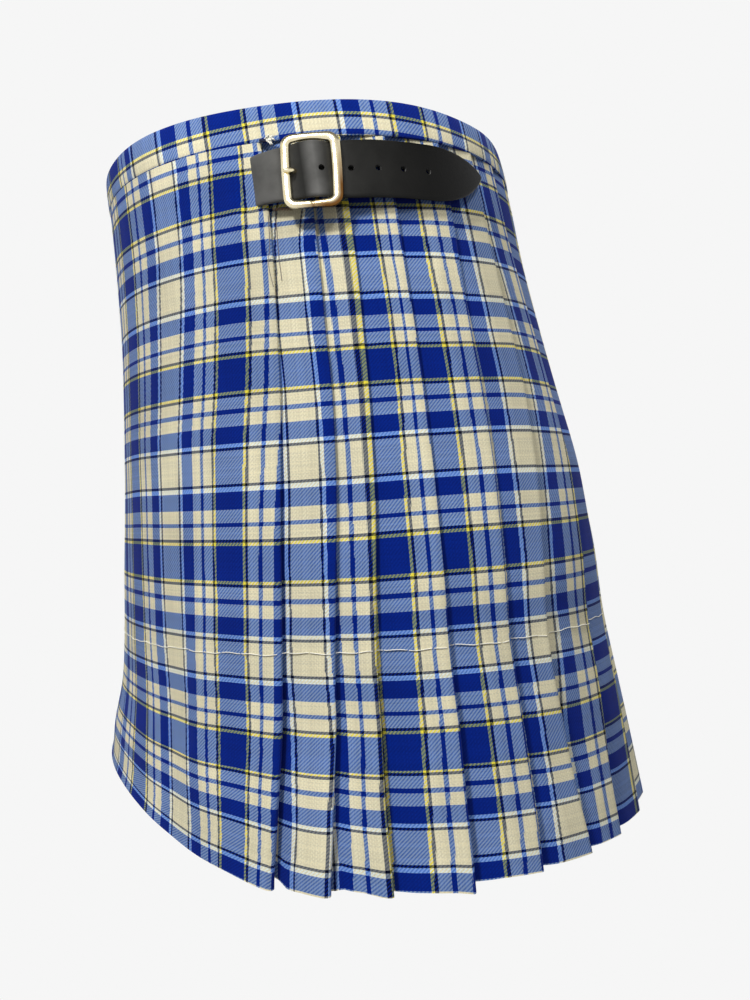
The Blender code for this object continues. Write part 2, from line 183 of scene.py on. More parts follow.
# How the pleats are folded and which threads of the check show.
pleats = {
    "count": 18,
    "foldRows": (-65, 50, 130, 210, 290, 370, 450, 530, 610, 690, 770, 850, 910, 962),
    # outer fold edges as arcs, in tenths of a millimetre: the apron's own first, then the first seven
    # pleats on the left
    "leftFolds": 1e-4 * np.array((
        (-17, -26, -50, -78, -99, -138, -172, -198, -207, -224, -244, -268, -302, -341),
        (223, 206, 194, 175, 171, 147, 121, 90, 72, 56, 41, 24, 0, -33),
        (405, 395, 387, 370, 360, 338, 320, 292, 278, 270, 275, 284, 285, 279),
        (648, 654, 645, 645, 646, 639, 634, 636, 643, 654, 675, 693, 695, 687),
        (993, 1012, 991, 986, 996, 992, 984, 980, 983, 1010, 1036, 1076, 1080, 1085),
        (1280, 1315, 1326, 1338, 1354, 1330, 1303, 1263, 1251, 1274, 1324, 1385, 1431, 1472),
        (1570, 1627, 1670, 1724, 1759, 1767, 1765, 1740, 1714, 1752, 1763, 1766, 1782, 1814),
        (1880, 1947, 1990, 2032, 2069, 2095, 2105, 2115, 2130, 2150, 2180, 2205, 2225, 2240),
    )),
    "windowRows": (-40, 60, 180, 300, 420, 540, 660, 780, 870, 940),
    # threads that show on the first seven pleats at those rows: at the left, a third and two thirds of
    # the way across, and the fold edge
    "windows": (
        ((72, 100, 104, 97, 92, 93, 94, 85, 77, 75), (86, 129, 129, 124, 120, 119, 115, 107, 99, 99),
         (100, 158, 155, 151, 147, 143, 138, 135, 132, 131),
         (140, 189, 181, 179, 176, 172, 164, 154, 157, 157)),
        ((203, 203, 199, 197, 193, 188, 177, 169, 162, 152),
         (213, 213, 210, 209, 207, 203, 196, 190, 188, 183),
         (227, 227, 226, 225, 224, 219, 214, 211, 212, 210),
         (234, 234, 233, 233, 233, 232, 230, 229, 231, 231)),
        ((-10, -10, -15, -17, -14, -22, -27, -28, -28, -25), (14, 14, 10, 9, 12, 7, 6, 7, 7, 10),
         (40, 40, 35, 36, 38, 35, 35, 38, 39, 41), (73, 73, 70, 71, 70, 70, 71, 72, 72, 73)),
        ((-9, -9, -14, -14, -15, -15, -16, -18, -21, -20), (21, 21, 16, 16, 15, 14, 14, 13, 12, 14),
         (49, 49, 42, 43, 41, 42, 42, 42, 41, 43), (82, 82, 72, 72, 71, 71, 72, 72, 72, 74)),
        ((76, 76, 67, 64, 65, 64, 65, 60, 58, 59), (96, 96, 89, 88, 90, 87, 88, 87, 87, 91),
         (112, 112, 117, 119, 116, 110, 111, 113, 117, 123),
         (137, 137, 146, 149, 143, 134, 133, 137, 144, 155)),
        ((139, 139, 129, 126, 130, 135, 130, 148, 144, 154),
         (165, 165, 158, 159, 168, 170, 165, 175, 172, 177),
         (193, 193, 191, 190, 201, 204, 202, 203, 201, 204),
         (215, 215, 216, 222, 237, 238, 238, 234, 226, 227)),
        ((252, 250, 248, 245, 242, 237, 236, 235, 235, 235),
         (263, 261, 259, 257, 254, 252, 252, 252, 254, 254),
         (273, 272, 271, 269, 267, 267, 267, 268, 272, 273),
         (286, 285, 284, 283, 282, 284, 283, 286, 290, 292)),
    ),
    "laterWindows": (152, 235, 326),  # left thread of every third pleat after those, in turn
    "sewnTo": 0.150,  # drop down to which the pleats are sewn flat
    "loosening": 1.4,  # power of the share of the way from there to the hem
    "pitch": (0.0014, 0.0042),  # from one layer of cloth to the next, where it is sewn and at the hem
    "bulge": (0.10, 0.42),  # there too, how far a panel swells out
    "underlap": (0.15, 0.55),  # hidden width against what shows, at the waist and where the sewing ends
    "leastUnderlap": 0.003,
    "apronReturn": 2.2,  # pitches from the apron's fold in to the end of its return
    "clearance": 0.0015,
    "reaches": (0.0018, 0.0030, 0.0060, 0.0060, 0.0019, 0.0019, 0.0018),  # of the bends at its corners
    "runs": (4, 5, 6, 6, 2, 5, 2),  # points on each straight part
    "bend": 5,
    "seamGap": 0.0004,
    "seamThreads": 80,
}

apron = {
    # threads that show at each number of threads in from the folded edge
    "threadRows": (-60, 60, 130, 200, 340, 460, 620, 760, 840, 920),
    "threadSteps": (0, 28, 50, 84, 150, 195, 240, 340),
    "threads": np.array((
        (56, 28, 2, -37, -115, -162, -208, -311), (59, 36, 14, -25, -110, -161, -206, -307),
        (57, 36, 14, -24, -104, -151, -198, -299), (60, 37, 17, -20, -94, -144, -193, -291),
        (70, 45, 27, -6, -75, -125, -173, -275), (77, 49, 29, -5, -75, -124, -172, -276),
        (80, 51, 29, -6, -76, -124, -174, -278), (80, 49, 23, -13, -83, -134, -187, -292),
        (78, 45, 19, -20, -96, -151, -203, -307), (70, 38, 12, -28, -106, -162, -212, -312),
    )),
    "centreThreads": (-590, -626),  # that show at the middle of the front, at the top and the hem
    "freeThread": -1180,  # at the free edge's line
    "lap": 0.008,
    "lapEdge": 0.001,
    "lapRun": 0.025,
    "lapHeight": 0.0022,
    "reaches": (0, 0.004, 0.008, 0.02, 0.012, 0.007, 0.007, 0.007, 0.006, 0.0038, 0.0026, 0.0019, 0.0019, 0),
    "runs": (4, 8, 44, 24, 14, 6, 6, 12, 6, 6, 26, 1, 8),
    "bend": 6,
    "sag": (0.0028, 0.022, 5),  # of the loose front corner: how far, its reach, and the power of the drop
    "underThread": 40,
    "underLevel": 0.0046,
    "underEnd": 0.006,
    "underReaches": (0, 0.0018, 0.004, 0.01, 0),
    "underRuns": (2, 6, 10, 150),
}

clothThickness = 0.0010


# A column of a table against its rows, with no corners: straight lines between the rows, averaged over
# a stretch each way.
def softly(at, rows, values, stretch=40.0):
    offsets = np.linspace(-1, 1, 9) * stretch
    weights = 1 - (np.abs(offsets) / (stretch * 1.25)) ** 2
    found = sum(w * np.interp(np.asarray(at) + o, rows, values) for w, o in zip(weights, offsets))
    return found / weights.sum()


# Outer fold edge of a pleat. Past the table they are evenly spaced, to a last one that mirrors the
# apron's edge on the other side.
def foldEdge(pleat, drop):
    table = pleats["leftFolds"]
    if pleat < len(table):
        return softly(threadRow(drop), pleats["foldRows"], table[pleat])
    first = foldEdge(len(table) - 1, drop)
    last = rightLineAt(drop) - foldEdge(0, drop)
    return first + (last - first) * (pleat - len(table) + 1) / (pleats["count"] - len(table) + 1)


# How loose the pleats hang, from 0 where they are sewn to 1 at the hem.
def looseness(drop):
    return shareOf(drop, pleats["sewnTo"], formDrops[-1]) ** pleats["loosening"]


# A pair's value at a drop: the top's, and the looseness times the difference between the two.
def loosened(key, drop):
    top, hem = pleats[key]
    return top + (hem - top) * looseness(drop)


def pleatWidth(pleat, drop):
    other = max(pleat, 1)
    return foldEdge(other, drop) - foldEdge(other - 1, drop)


# Hidden width of a pleat: a share of the width that shows, straight from the waist to where the sewing
# ends, and never under the least.
def underlap(pleat, drop):
    share = np.interp(drop, (form["bandDepth"], pleats["sewnTo"]), pleats["underlap"])
    return np.maximum(pleats["leastUnderlap"], share * pleatWidth(pleat, drop))


# Depth of the end of the leg under a pleat: one pitch, and two more times the share of the panel that
# the leg runs back under.
def returnDepth(pleat, drop):
    pitch = loosened("pitch", drop)
    if pleat == 0:
        return pleats["apronReturn"] * pitch
    run = pleatWidth(pleat, drop) - pleats["clearance"]
    return pitch + 2 * pitch * np.minimum(1, underlap(pleat, drop) / run)


# Threads that show on a pleat, at its left, its thirds and its fold edge.
def windowThreads(pleat, drop):
    table = pleats["windows"]
    if pleat <= len(table):
        return [softly(threadRow(drop), pleats["windowRows"], column) for column in table[pleat - 1]]
    left = pleats["laterWindows"][pleat % 3]
    width = pleatWidth(pleat, drop) / thread
    return [left + share * width for share in (0, 1 / 3, 2 / 3, 1)]


# Depth of a pleat's panel at a share of the way to its fold edge: 2 pitches times the share left, less
# a bulge that follows the sine of the share.
def panelDepth(share, drop):
    bulge = 1 - loosened("bulge", drop) * np.sin(np.pi * share)
    return 2 * loosened("pitch", drop) * (1 - share) * bulge


# Corners of one pleat in section, as (arc, depth in, thread of the sett, thread of the weave), from
# its inner fold to the end of the leg that returns under it.
def pleatCorners(pleat, drop):
    before, edge = foldEdge(pleat - 1, drop), foldEdge(pleat, drop)
    inner = before - underlap(pleat - 1, drop)
    start = before + pleats["clearance"]
    shown = windowThreads(pleat, drop)
    deepest = returnDepth(pleat - 1, drop) + loosened("pitch", drop)
    corners = [(inner, deepest, shown[0] - (start - inner) / thread)]
    for share, count in zip((0, 1 / 3, 2 / 3), shown):
        corners.append((start + share * (edge - start), panelDepth(share, drop), count))
    corners = [(arc, depth, count, (arc - edge) / thread) for arc, depth, count in corners]
    return corners + [(edge, 0, shown[3], 0), *returnCorners(pleat, drop, shown[3])]


# The leg under a fold: one pitch in, then back by the hidden width.
def returnCorners(pleat, drop, right):
    pitch, edge, under = loosened("pitch", drop), foldEdge(pleat, drop), underlap(pleat, drop)
    turned, end = pitch / thread, (pitch + under) / thread
    return [
        (edge, pitch, right + turned, turned),
        (edge - under, returnDepth(pleat, drop), right + end, end),
    ]


# Route through corners, straight runs joined by bends: each bend is the quadratic curve from a reach
# before its corner to a reach after it, with the corner as its control point. Threads go by length
# along the route between corners. corners is rows by corners by (arc, depth, thread, weave thread);
# reaches has one reach for each corner; runs says how many points each straight run has. Gives arcs,
# depths and the two threads as rows by points.
def foldedRoute(corners, reaches, runs, bend):
    spots, threads = corners[:, :, :2], corners[:, :, 2:]
    count = spots.shape[1]
    legs = np.diff(spots, axis=1)
    lengths = np.maximum(np.linalg.norm(legs, axis=2, keepdims=True), 1e-9)
    steps = legs / lengths
    heads, tails = (
        steps * np.minimum(np.array(part)[None, :, None], 0.45 * lengths)
        for part in (reaches[:-1], reaches[1:])
    )
    heads[:, 0] = tails[:, -1] = 0
    pieces, middles, total = [], [0], 0
    turn = np.linspace(0, 1, bend, endpoint=False)[None, :, None]
    for j in range(count - 1):
        start, end = spots[:, j] + heads[:, j], spots[:, j + 1] - tails[:, j]
        along = np.linspace(0, 1, runs[j], endpoint=False)[None, :, None]
        pieces.append(start[:, None] + (end - start)[:, None] * along)
        total += runs[j]
        if j + 2 < count:
            corner = spots[:, j + 1, None]
            after = corner + heads[:, j + 1, None]
            curve = (1 - turn) ** 2 * end[:, None] + 2 * turn * (1 - turn) * corner + turn**2 * after
            pieces.append(curve)
            middles.append(total + bend // 2)
            total += bend
    route = np.concatenate((*pieces, spots[:, -1:]), 1)
    middles.append(total)
    length = lengthAlong(route)
    leg = np.searchsorted(middles, np.arange(total + 1), side="right") - 1
    leg = np.clip(leg, 0, count - 2)
    ends = length[:, middles]
    share = (length - ends[:, leg]) / np.maximum(ends[:, leg + 1] - ends[:, leg], 1e-9)
    share = share[:, :, None]
    return *np.moveaxis(route, 2, 0), threads[:, leg] * (1 - share) + threads[:, leg + 1] * share


# Soft creases and swellings of the hung cloth, as heights: each is a hump across the arc times a hump
# down the drop, with its arc, drop, reach along the arc, reach down and height in millimetres, and the
# lean of the crease in thousandths.
creases = np.array((
    (-12, 60, 3.5, 12, -1.1, 100), (-20, 55, 5, 16, 1, 150), (14, 105, 4, 30, 0.9, 20),
    (52, 110, 8, 40, 1, 0), (84, 120, 8, 50, 0.8, 20), (195, 195, 30, 32, 1.5, 0),
    (-70, 330, 16, 50, 1.6, -50), (-100, 340, 14, 60, -1.6, -50),
)) * 0.001


def creaseHeight(arc, drop):
    return sum(
        height * hump(arc - middle - lean * (drop - low), wide) * hump(drop - low, tall)
        for middle, low, wide, tall, height, lean in creases
    )


# Corner numbers of each quad of a grid of point numbers.
def gridQuads(index):
    return np.stack((index[:-1, :-1], index[1:, :-1], index[1:, 1:], index[:-1, 1:]), -1)


# Thin closed shell about a grid of points, rows by columns by 3: each point goes half the thickness
# out and in along the grid's normal, and a strip joins the two skins round every edge, round holes
# too. keep says which cells of the grid are cloth.
def shell(name, points, threads, thickness, material, keep=None):
    rows, columns = points.shape[:2]
    keep = np.ones((rows - 1, columns - 1), bool) if keep is None else keep
    normal = unit(np.cross(np.gradient(points, axis=0), np.gradient(points, axis=1)))
    skins = np.concatenate((points + normal * thickness / 2, points - normal * thickness / 2))
    inner = rows * columns
    index = np.arange(inner).reshape(rows, columns)
    cell = gridQuads(index)[keep]
    padded = np.pad(keep, 1)
    down, along = np.stack((index[:-1], index[1:]), -1), np.stack((index[:, 1:], index[:, :-1]), -1)
    edge = np.concatenate([
        np.where(before[..., None], pairs[..., ::-1], pairs)[before != after]
        for pairs, before, after in (
            (down, padded[1:-1, :-1], padded[1:-1, 1:]), (along, padded[:-1, 1:-1], padded[1:, 1:-1]),
        )
    ])
    rim = np.hstack((edge[:, ::-1], edge + inner))
    faces = np.concatenate((cell, cell[:, ::-1] + inner, rim))
    used, faces = np.unique(faces, return_inverse=True)
    obj = meshObject(name, skins.reshape(-1, 3)[used], faces.reshape(-1, 4), material)
    bothSides = np.tile(threads.reshape(inner, -1), (2, 1))[used]
    addMap(obj, "threads", bothSides[:, :2])
    if bothSides.shape[1] > 2:
        addMap(obj, "weave", bothSides[:, [2, 1]])
    sharpenEdges(obj, np.searchsorted(used, np.concatenate((edge, edge + inner))))
    return obj


def meshObject(name, points, faces, material):
    mesh = bpy.data.meshes.new(name)
    mesh.vertices.add(len(points))
    mesh.vertices.foreach_set("co", np.asarray(points, np.float32).ravel())
    mesh.loops.add(faces.size)
    mesh.loops.foreach_set("vertex_index", np.asarray(faces, np.int32).ravel())
    mesh.polygons.add(len(faces))
    mesh.polygons.foreach_set("loop_start", np.arange(0, faces.size, faces.shape[1], dtype=np.int32))
    mesh.update(calc_edges=True)
    mesh.polygons.foreach_set("use_smooth", np.ones(len(faces), bool))
    mesh.materials.append(material)
    return linked(name, mesh)


def linked(name, data):
    obj = bpy.data.objects.new(name, data)
    bpy.context.scene.collection.objects.link(obj)
    return obj


# UV map from one pair of values for each point of the mesh.
def addMap(obj, name, values):
    corner = np.empty(len(obj.data.loops), np.int32)
    obj.data.loops.foreach_get("vertex_index", corner)
    layer = obj.data.uv_layers.new(name=name)
    layer.data.foreach_set("uv", np.asarray(values, np.float32)[corner].ravel())


def sharpenEdges(obj, pairs):
    mesh = obj.data
    ends = np.empty(len(mesh.edges) * 2, np.int32)
    mesh.edges.foreach_get("vertices", ends)
    ends, pairs = (np.sort(a.reshape(-1, 2).astype(np.int64), 1) for a in (ends, pairs))
    sharp = np.isin(*(a[:, 0] * len(mesh.vertices) + a[:, 1] for a in (ends, pairs)))
    layer = mesh.attributes.new("sharp_edge", "BOOLEAN", "EDGE")
    layer.data.foreach_set("value", sharp)


# Says what a finished piece rides on and stands for: hangs it on the root and hides the imported part that
# it replaces.
def enter(obj, node=None):
    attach(obj, "root")
    if node:
        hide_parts(node)


# Linear colour of a screen colour: value over 255 to the power 2.2.
def paint(red, green, blue):
    return (*((np.array((red, green, blue)) / 255) ** 2.2).tolist(), 1.0)


def newMaterial(name):
    material = bpy.data.materials.new(name)
    material.use_nodes = True
    tree = material.node_tree
    return material, tree, tree.nodes["Principled BSDF"]


# Puts another node's socket, or a plain value, into each of a node's sockets.
def setSockets(tree, node, links):
    for socket, value in links.items():
        if isinstance(value, bpy.types.NodeSocket):
            tree.links.new(value, node.inputs[socket])
        else:
            node.inputs[socket].default_value = value


def addNode(tree, kind, links, **settings):
    node = tree.nodes.new("ShaderNode" + kind)
    for key, value in settings.items():
        setattr(node, key, value)
    setSockets(tree, node, links)
    return node.outputs


def maths(tree, operation, *values):
    return addNode(tree, "Math", dict(enumerate(values)), operation=operation)[0]


def mixColours(tree, share, first, second, blend="MIX"):
    links = {0: share, 6: first, 7: second}
    return addNode(tree, "Mix", links, data_type="RGBA", blend_type=blend)[2]


# A value moved from one range to another.
def spread(tree, value, to, given=(0.0, 1.0)):
    return addNode(tree, "MapRange", {0: value, 1: given[0], 2: given[1], 3: to[0], 4: to[1]})[0]


# A colour times such a value.
def strengthen(tree, colour, value, to, given=(0.0, 1.0)):
    return mixColours(tree, 1.0, colour, spread(tree, value, to, given), "MULTIPLY")


def colourSteps(tree, value, stops, interpolation="LINEAR"):
    ramp = tree.nodes.new("ShaderNodeValToRGB")
    tree.links.new(value, ramp.inputs[0])
    band = ramp.color_ramp
    band.interpolation = interpolation
    band.elements.remove(band.elements[1])
    band.elements[0].position, band.elements[0].color = stops[0]
    for position, shade in stops[1:]:
        band.elements.new(position).color = shade
    return ramp.outputs[0]


def noise(tree, scale, detail):
    spot = addNode(tree, "TexCoord", {})["Object"]
    return addNode(tree, "TexNoise", {0: spot, "Scale": scale, "Detail": detail})[0]


def mapParts(tree, name):
    return addNode(tree, "SeparateXYZ", {0: addNode(tree, "UVMap", {}, uv_map=name)[0]})


def bumps(tree, height, strength, distance):
    return addNode(tree, "Bump", {"Height": height, "Strength": strength, "Distance": distance})[0]


# Check of the cloth and how it is woven. Colours are values of 0 to 255 on the screen.
tartan = {
    "half": 129,  # threads from one turning point of the sett to the other
    "starts": (0, 23, 27, 31, 47, 53, 71, 95, 101, 105),
    "stripes": "BYKCBCBWKC",
    "warp": {
        "B": (2, 43, 140), "Y": (255, 238, 84), "K": (10, 18, 44), "C": (244, 237, 204),
        "W": (246, 252, 246),
    },
    "weft": {
        "B": (0, 37, 130), "Y": (252, 234, 72), "K": (8, 16, 40), "C": (240, 231, 196),
        "W": (242, 250, 244),
    },
    "grain": 1.35,  # width of a woven thread against a thread of the sett
    "twill": 4,
    "uneven": (0.93, 1.03),  # strength of the darkest and the palest thread
    "veil": (0.44, 0.56),  # how far a dark and a pale thread take on the colour of one that they cross
    "cold": (0.0, 0.14, 0.40),  # and how much colder they look
    "wear": (0.95, 1.03),
    "wearScale": 28.0,
    "threadShade": (0.90, 1.03),  # painted shade at the foot of a thread and painted light at its crown
    "fuzz": 0.5,  # height of the fuzz against a thread's
    "fuzzScale": 2600.0,
    "relief": (0.3, 0.00010),
    "roughness": 0.9,
    "shine": 0.06,
    "sheen": (0.04, 0.5),  # and its roughness
}


# Twill of coloured threads. The map weave counts the threads of the cloth, u across and v down, and the
# warp is on top where the sum of the two numbers, over 4, leaves less than 2. The map threads counts
# threads of the sett: its u, taken at the middle of the weave's thread, gives the warp's colour and its
# v the weft's, folded back and forth over half the sett. Colours are mixed as they look on the screen
# and then raised to the power 2.2.
def tartanCloth():
    material, tree, shader = newMaterial("tartanTwill")
    sett, weave = mapParts(tree, "threads"), mapParts(tree, "weave")
    half, grain = tartan["half"], tartan["grain"]
    colours, ridges, numbers = [], [], []
    for axis, key in enumerate(("warp", "weft")):
        count = maths(tree, "DIVIDE", weave[axis], grain)
        number = maths(tree, "FLOOR", count)
        centred = maths(tree, "SUBTRACT", maths(tree, "SUBTRACT", count, number), 0.5)
        middle = maths(tree, "MULTIPLY_ADD", centred, -grain, sett[axis])
        share = maths(tree, "DIVIDE", maths(tree, "PINGPONG", middle, half), half)
        shades = [(*(value / 255 for value in tartan[key][stripe]), 1.0) for stripe in tartan["stripes"]]
        stops = [(start / half, shade) for start, shade in zip(tartan["starts"], shades)]
        shade = colourSteps(tree, share, stops, "CONSTANT")
        uneven = addNode(tree, "TexWhiteNoise", {"W": number}, noise_dimensions="1D")[0]
        colours.append(strengthen(tree, shade, uneven, tartan["uneven"]))
        square = maths(tree, "MULTIPLY", centred, centred)
        ridges.append(maths(tree, "MULTIPLY_ADD", square, -4.0, 1.0))
        numbers.append(number)
    left = maths(tree, "FLOORED_MODULO", maths(tree, "ADD", *numbers), tartan["twill"])
    onTop = maths(tree, "LESS_THAN", left, tartan["twill"] / 2 - 0.01)
    top = mixColours(tree, onTop, colours[1], colours[0])
    under = mixColours(tree, onTop, colours[0], colours[1])
    height = addNode(tree, "Mix", {0: onTop, 2: ridges[1], 3: ridges[0]})[0]
    paler = maths(tree, "SUBTRACT", *(addNode(tree, "RGBToBW", {0: shade})[0] for shade in (top, under)))
    differ = maths(tree, "ABSOLUTE", paler)
    veil = spread(tree, paler, tartan["veil"], (-0.1, 0.1))
    veiled = mixColours(tree, maths(tree, "MULTIPLY", differ, veil), top, under)
    blues = [addNode(tree, "SeparateXYZ", {0: shade})[2] for shade in (top, under)]
    chill = maths(tree, "MULTIPLY", differ, maths(tree, "MULTIPLY", *blues))
    cold = addNode(tree, "VectorMath", {0: tartan["cold"], "Scale": chill}, operation="SCALE")[0]
    woven = addNode(tree, "VectorMath", {0: veiled, 1: cold}, operation="ADD")[0]
    wearing = noise(tree, tartan["wearScale"], 4.0)
    worn = strengthen(tree, woven, wearing, tartan["wear"], (0.3, 0.7))
    # Colour darkened at the foot of each thread and lifted at its crown: painted shade between threads.
    finished = strengthen(tree, worn, height, tartan["threadShade"])
    fuzz = noise(tree, tartan["fuzzScale"], 2.0)
    rough = maths(tree, "MULTIPLY_ADD", fuzz, tartan["fuzz"], height)
    sheen, sheenRoughness = tartan["sheen"]
    setSockets(tree, shader, {
        "Base Color": addNode(tree, "Gamma", {0: finished, 1: 2.2})[0],
        "Normal": bumps(tree, rough, *tartan["relief"]), "Roughness": tartan["roughness"],
        "Specular IOR Level": tartan["shine"], "Sheen Weight": sheen, "Sheen Roughness": sheenRoughness,
    })
    return material


leather = {
    # millimetres along from the buckle, and the grey there: painted highlight on the stub and on the hump
    # over the middle bar, painted shade by the frame's bars and towards the tip
    "paintedLightGreys": ((-18, 92), (-9, 62), (-5, 42), (1, 106), (6, 62), (12, 41), (35, 36), (60, 14), (90, 3)),
    "reach": (-0.02, 0.10),  # along the strap, over which they lie
    "patches": (0.7, 1.15),
    "patchScale": 60.0,
    "grainScale": 700.0,
    "poreScale": 1500.0,
    "pore": 0.8,  # height of the pores' rims against the grain's
    "relief": (0.35, 0.00015),
    "roughness": (0.36, 0.56),
    "shine": 0.13,
    "line": 0.0122,  # from the middle of the strap to its row of stitches
    "lineHalf": 0.00022,
    "stitch": 0.0021,
    "stitched": 0.62,  # share of a stitch that is pressed in
    "pressed": -2.5,
}


# Near-black grained leather, with a line of stitches pressed in along each edge: the map threads holds
# metres along and across the strap.
def leatherStrap():
    material, tree, shader = newMaterial("blackLeather")
    along, across = mapParts(tree, "threads")[:2]
    first, last = leather["reach"]
    # The base grey along the strap carries painted highlight and painted shade.
    stops = [((0.001 * at - first) / (last - first), paint(g, g, g - 1)) for at, g in leather["paintedLightGreys"]]
    shade = colourSteps(tree, spread(tree, along, (0.0, 1.0), (first, last)), stops)
    spot = addNode(tree, "TexCoord", {})["Object"]
    links = {0: spot, "Scale": leather["poreScale"]}
    pores = addNode(tree, "TexVoronoi", links, feature="DISTANCE_TO_EDGE")[0]
    grain = noise(tree, leather["grainScale"], 5.0)
    relief = maths(tree, "MULTIPLY_ADD", pores, leather["pore"], grain)
    fromLine = maths(tree, "SUBTRACT", maths(tree, "ABSOLUTE", across), leather["line"])
    inLine = maths(tree, "LESS_THAN", maths(tree, "ABSOLUTE", fromLine), leather["lineHalf"])
    step = maths(tree, "FRACT", maths(tree, "DIVIDE", along, leather["stitch"]))
    inStitch = maths(tree, "MULTIPLY", inLine, maths(tree, "LESS_THAN", step, leather["stitched"]))
    stitched = maths(tree, "MULTIPLY_ADD", inStitch, leather["pressed"], relief)
    patches = noise(tree, leather["patchScale"], 4.0)
    setSockets(tree, shader, {
        "Base Color": strengthen(tree, shade, patches, leather["patches"], (0.35, 0.62)),
        "Roughness": spread(tree, grain, leather["roughness"]), "Specular IOR Level": leather["shine"],
        "Normal": bumps(tree, stitched, *leather["relief"]),
    })
    return material


brass = {
    "shades": ((0.38, paint(222, 200, 148)), (0.58, paint(240, 228, 192))),
    # brown of the patina in the joint and of the painted shade and dark reflection at the lower front corner
    "patinaAndShade": paint(120, 82, 42),
    "tarnishScale": 70.0,
    "scratchScale": 900.0,
    "roughness": (0.14, 0.26),
    "relief": (0.15, 0.0003),
}


# Brushed brass, browner where the attribute patinaAndShade says: patina in the joint, painted shade and
# painted dark reflection at the lower front corner and on the outer side.
def paleBrass():
    material, tree, shader = newMaterial("paleBrass")
    tarnish = noise(tree, brass["tarnishScale"], 4.0)
    scratches = noise(tree, brass["scratchScale"], 3.0)
    patinaAndShade = addNode(tree, "Attribute", {}, attribute_name="patinaAndShade")["Fac"]
    shade = colourSteps(tree, tarnish, brass["shades"])
    setSockets(tree, shader, {
        "Base Color": mixColours(tree, patinaAndShade, shade, brass["patinaAndShade"]), "Metallic": 1.0,
        "Roughness": spread(tree, scratches, brass["roughness"]),
        "Normal": bumps(tree, tarnish, *brass["relief"]),
    })
    return material


yarns = {
    "ivoryYarn": paint(252, 251, 240),
    "brownYarn": paint(150, 118, 84),
    "navyYarn": paint(22, 30, 62),
    "greyYarn": paint(128, 118, 122),
    "scale": 900.0,
    "uneven": (0.75, 1.15),
    "roughness": 0.85,
}


# Plain yarn, a little uneven.
def yarn(name):
    material, tree, shader = newMaterial(name)
    shade = strengthen(tree, yarns[name], noise(tree, yarns["scale"], 3.0), yarns["uneven"])
    setSockets(tree, shader, {"Base Color": shade, "Roughness": yarns["roughness"]})
    return material


clothLook = tartanCloth()
leatherLook = leatherStrap()
brassLook = paleBrass()
threadLook, brownLook, darkLook, seamAndCreaseLook = (
    yarn(name) for name in ("ivoryYarn", "brownYarn", "navyYarn", "greyYarn")
)
print("materials made")


# Drops of the cloth's rows, evenly down to the first and then as many as given down to the hem.
clothRings = {"top": 0.0022, "evenTo": 0.075, "step": 0.0024, "count": 84}
hemDrop = form["sections"][-1, 0]
clothTop = form["bandDepth"] - clothRings["top"]
clothDrops = np.concatenate((
    np.arange(clothTop, clothRings["evenTo"], clothRings["step"]),
    np.linspace(clothRings["evenTo"], hemDrop, clothRings["count"]),
))
clothRows = threadRow(clothDrops)

hem = {
    "lift": (0.0125, 6),  # how much higher the loose front ends at the hem, and the power of the drop
    "flare": (0.0062, 14),
    "from": (-0.065, -0.185),  # arcs between which that starts, and between which it ends again
    "to": (-0.42, -0.32),
    # arc and how far lower the cloth ends there, in millimetres
    "falls": np.array((
        (-34, 0), (-27, 2), (-18, 1), (-6, 0.8), (-1, 0), (4, -1.8), (14, -1.4), (24, 0.6), (45, 0.6),
        (60, 1.4), (68, 2.8), (72, 0), (85, -1), (105, -0.5), (120, 0),
    )) * 0.001,
    "fallPower": 16,
}


# Rows by columns of points from a section's arcs and depths, with the soft creases added. Near the hem
# the front is lifted and flared by smooth steps of the arc times high powers of the drop.
def hang(arc, depth):
    drop = np.broadcast_to(clothDrops[:, None], arc.shape)
    around = girthAt(drop)
    near = np.mod(arc + around / 2, around) - around / 2
    front = ease(near, *hem["from"]) * ease(near, *hem["to"])
    share = drop / hemDrop
    lift, flare = (high * front * share**power for high, power in (hem["lift"], hem["flare"]))
    points = place(arc, creaseHeight(arc, drop) - depth + flare, drop)
    points[..., 2] += lift - np.interp(near, *hem["falls"].T) * share ** hem["fallPower"]
    return points


# How many threads lower than level the weft hangs, at each arc and row of the cloth.
sagging = {
    "arcs": np.array((-0.16, -0.13, -0.10, -0.07, -0.04, -0.01, 0.02, 0.05, 0.08, 0.11, 0.14, 0.17)),
    "rows": np.array((-50, 40, 110, 180, 250, 320, 390, 460, 530, 600, 670, 740, 810, 880, 950)),
    "threads": np.array((
        (0, 0, 0, 0, 0, 0, 0, 0, 0, 0, 0, 0), (0, 1, 2, 3, 1, 0, 1, 9, 7, 3, 0, 0),
        (0, 0, 0, 1, -1, -2, -1, 2, 3, 3, 1, 0), (0, -1, -2, -1, -2, -1, 3, 5, 6, 5, 1, 0),
        (0, -1, 0, 0, 0, 1, 3, 2, 4, 1, -2, 0), (0, 0, 1, 1, 2, 3, 2, 1, 0, -2, -2, 0),
        (0, -2, 0, 1, 2, 2, 2, 0, -1, -2, -1, 0), (0, -2, -1, 0, 1, 2, 1, -1, -2, -2, 0, 0),
        (0, 0, 2, 2, 4, 5, 5, 2, 1, 1, 1, 0), (0, 0, 1, 1, 3, 5, 4, 2, 0, 0, 0, 0),
        (0, -2, -1, -1, 0, 0, 1, 0, -2, -3, -2, 0), (0, 0, 1, -1, 0, 0, 1, 0, -1, -1, 0, 0),
        (0, 3, 4, 2, 1, 1, 3, 2, 2, 2, 2, 0), (0, 4, 2, -1, -2, -2, 0, -1, -1, 0, 0, 0),
        (0, 2, 3, 0, -1, -2, 0, -2, -1, -1, -2, 0),
    )),
    "reach": (0.022, 52),  # along the arc and down the rows
}


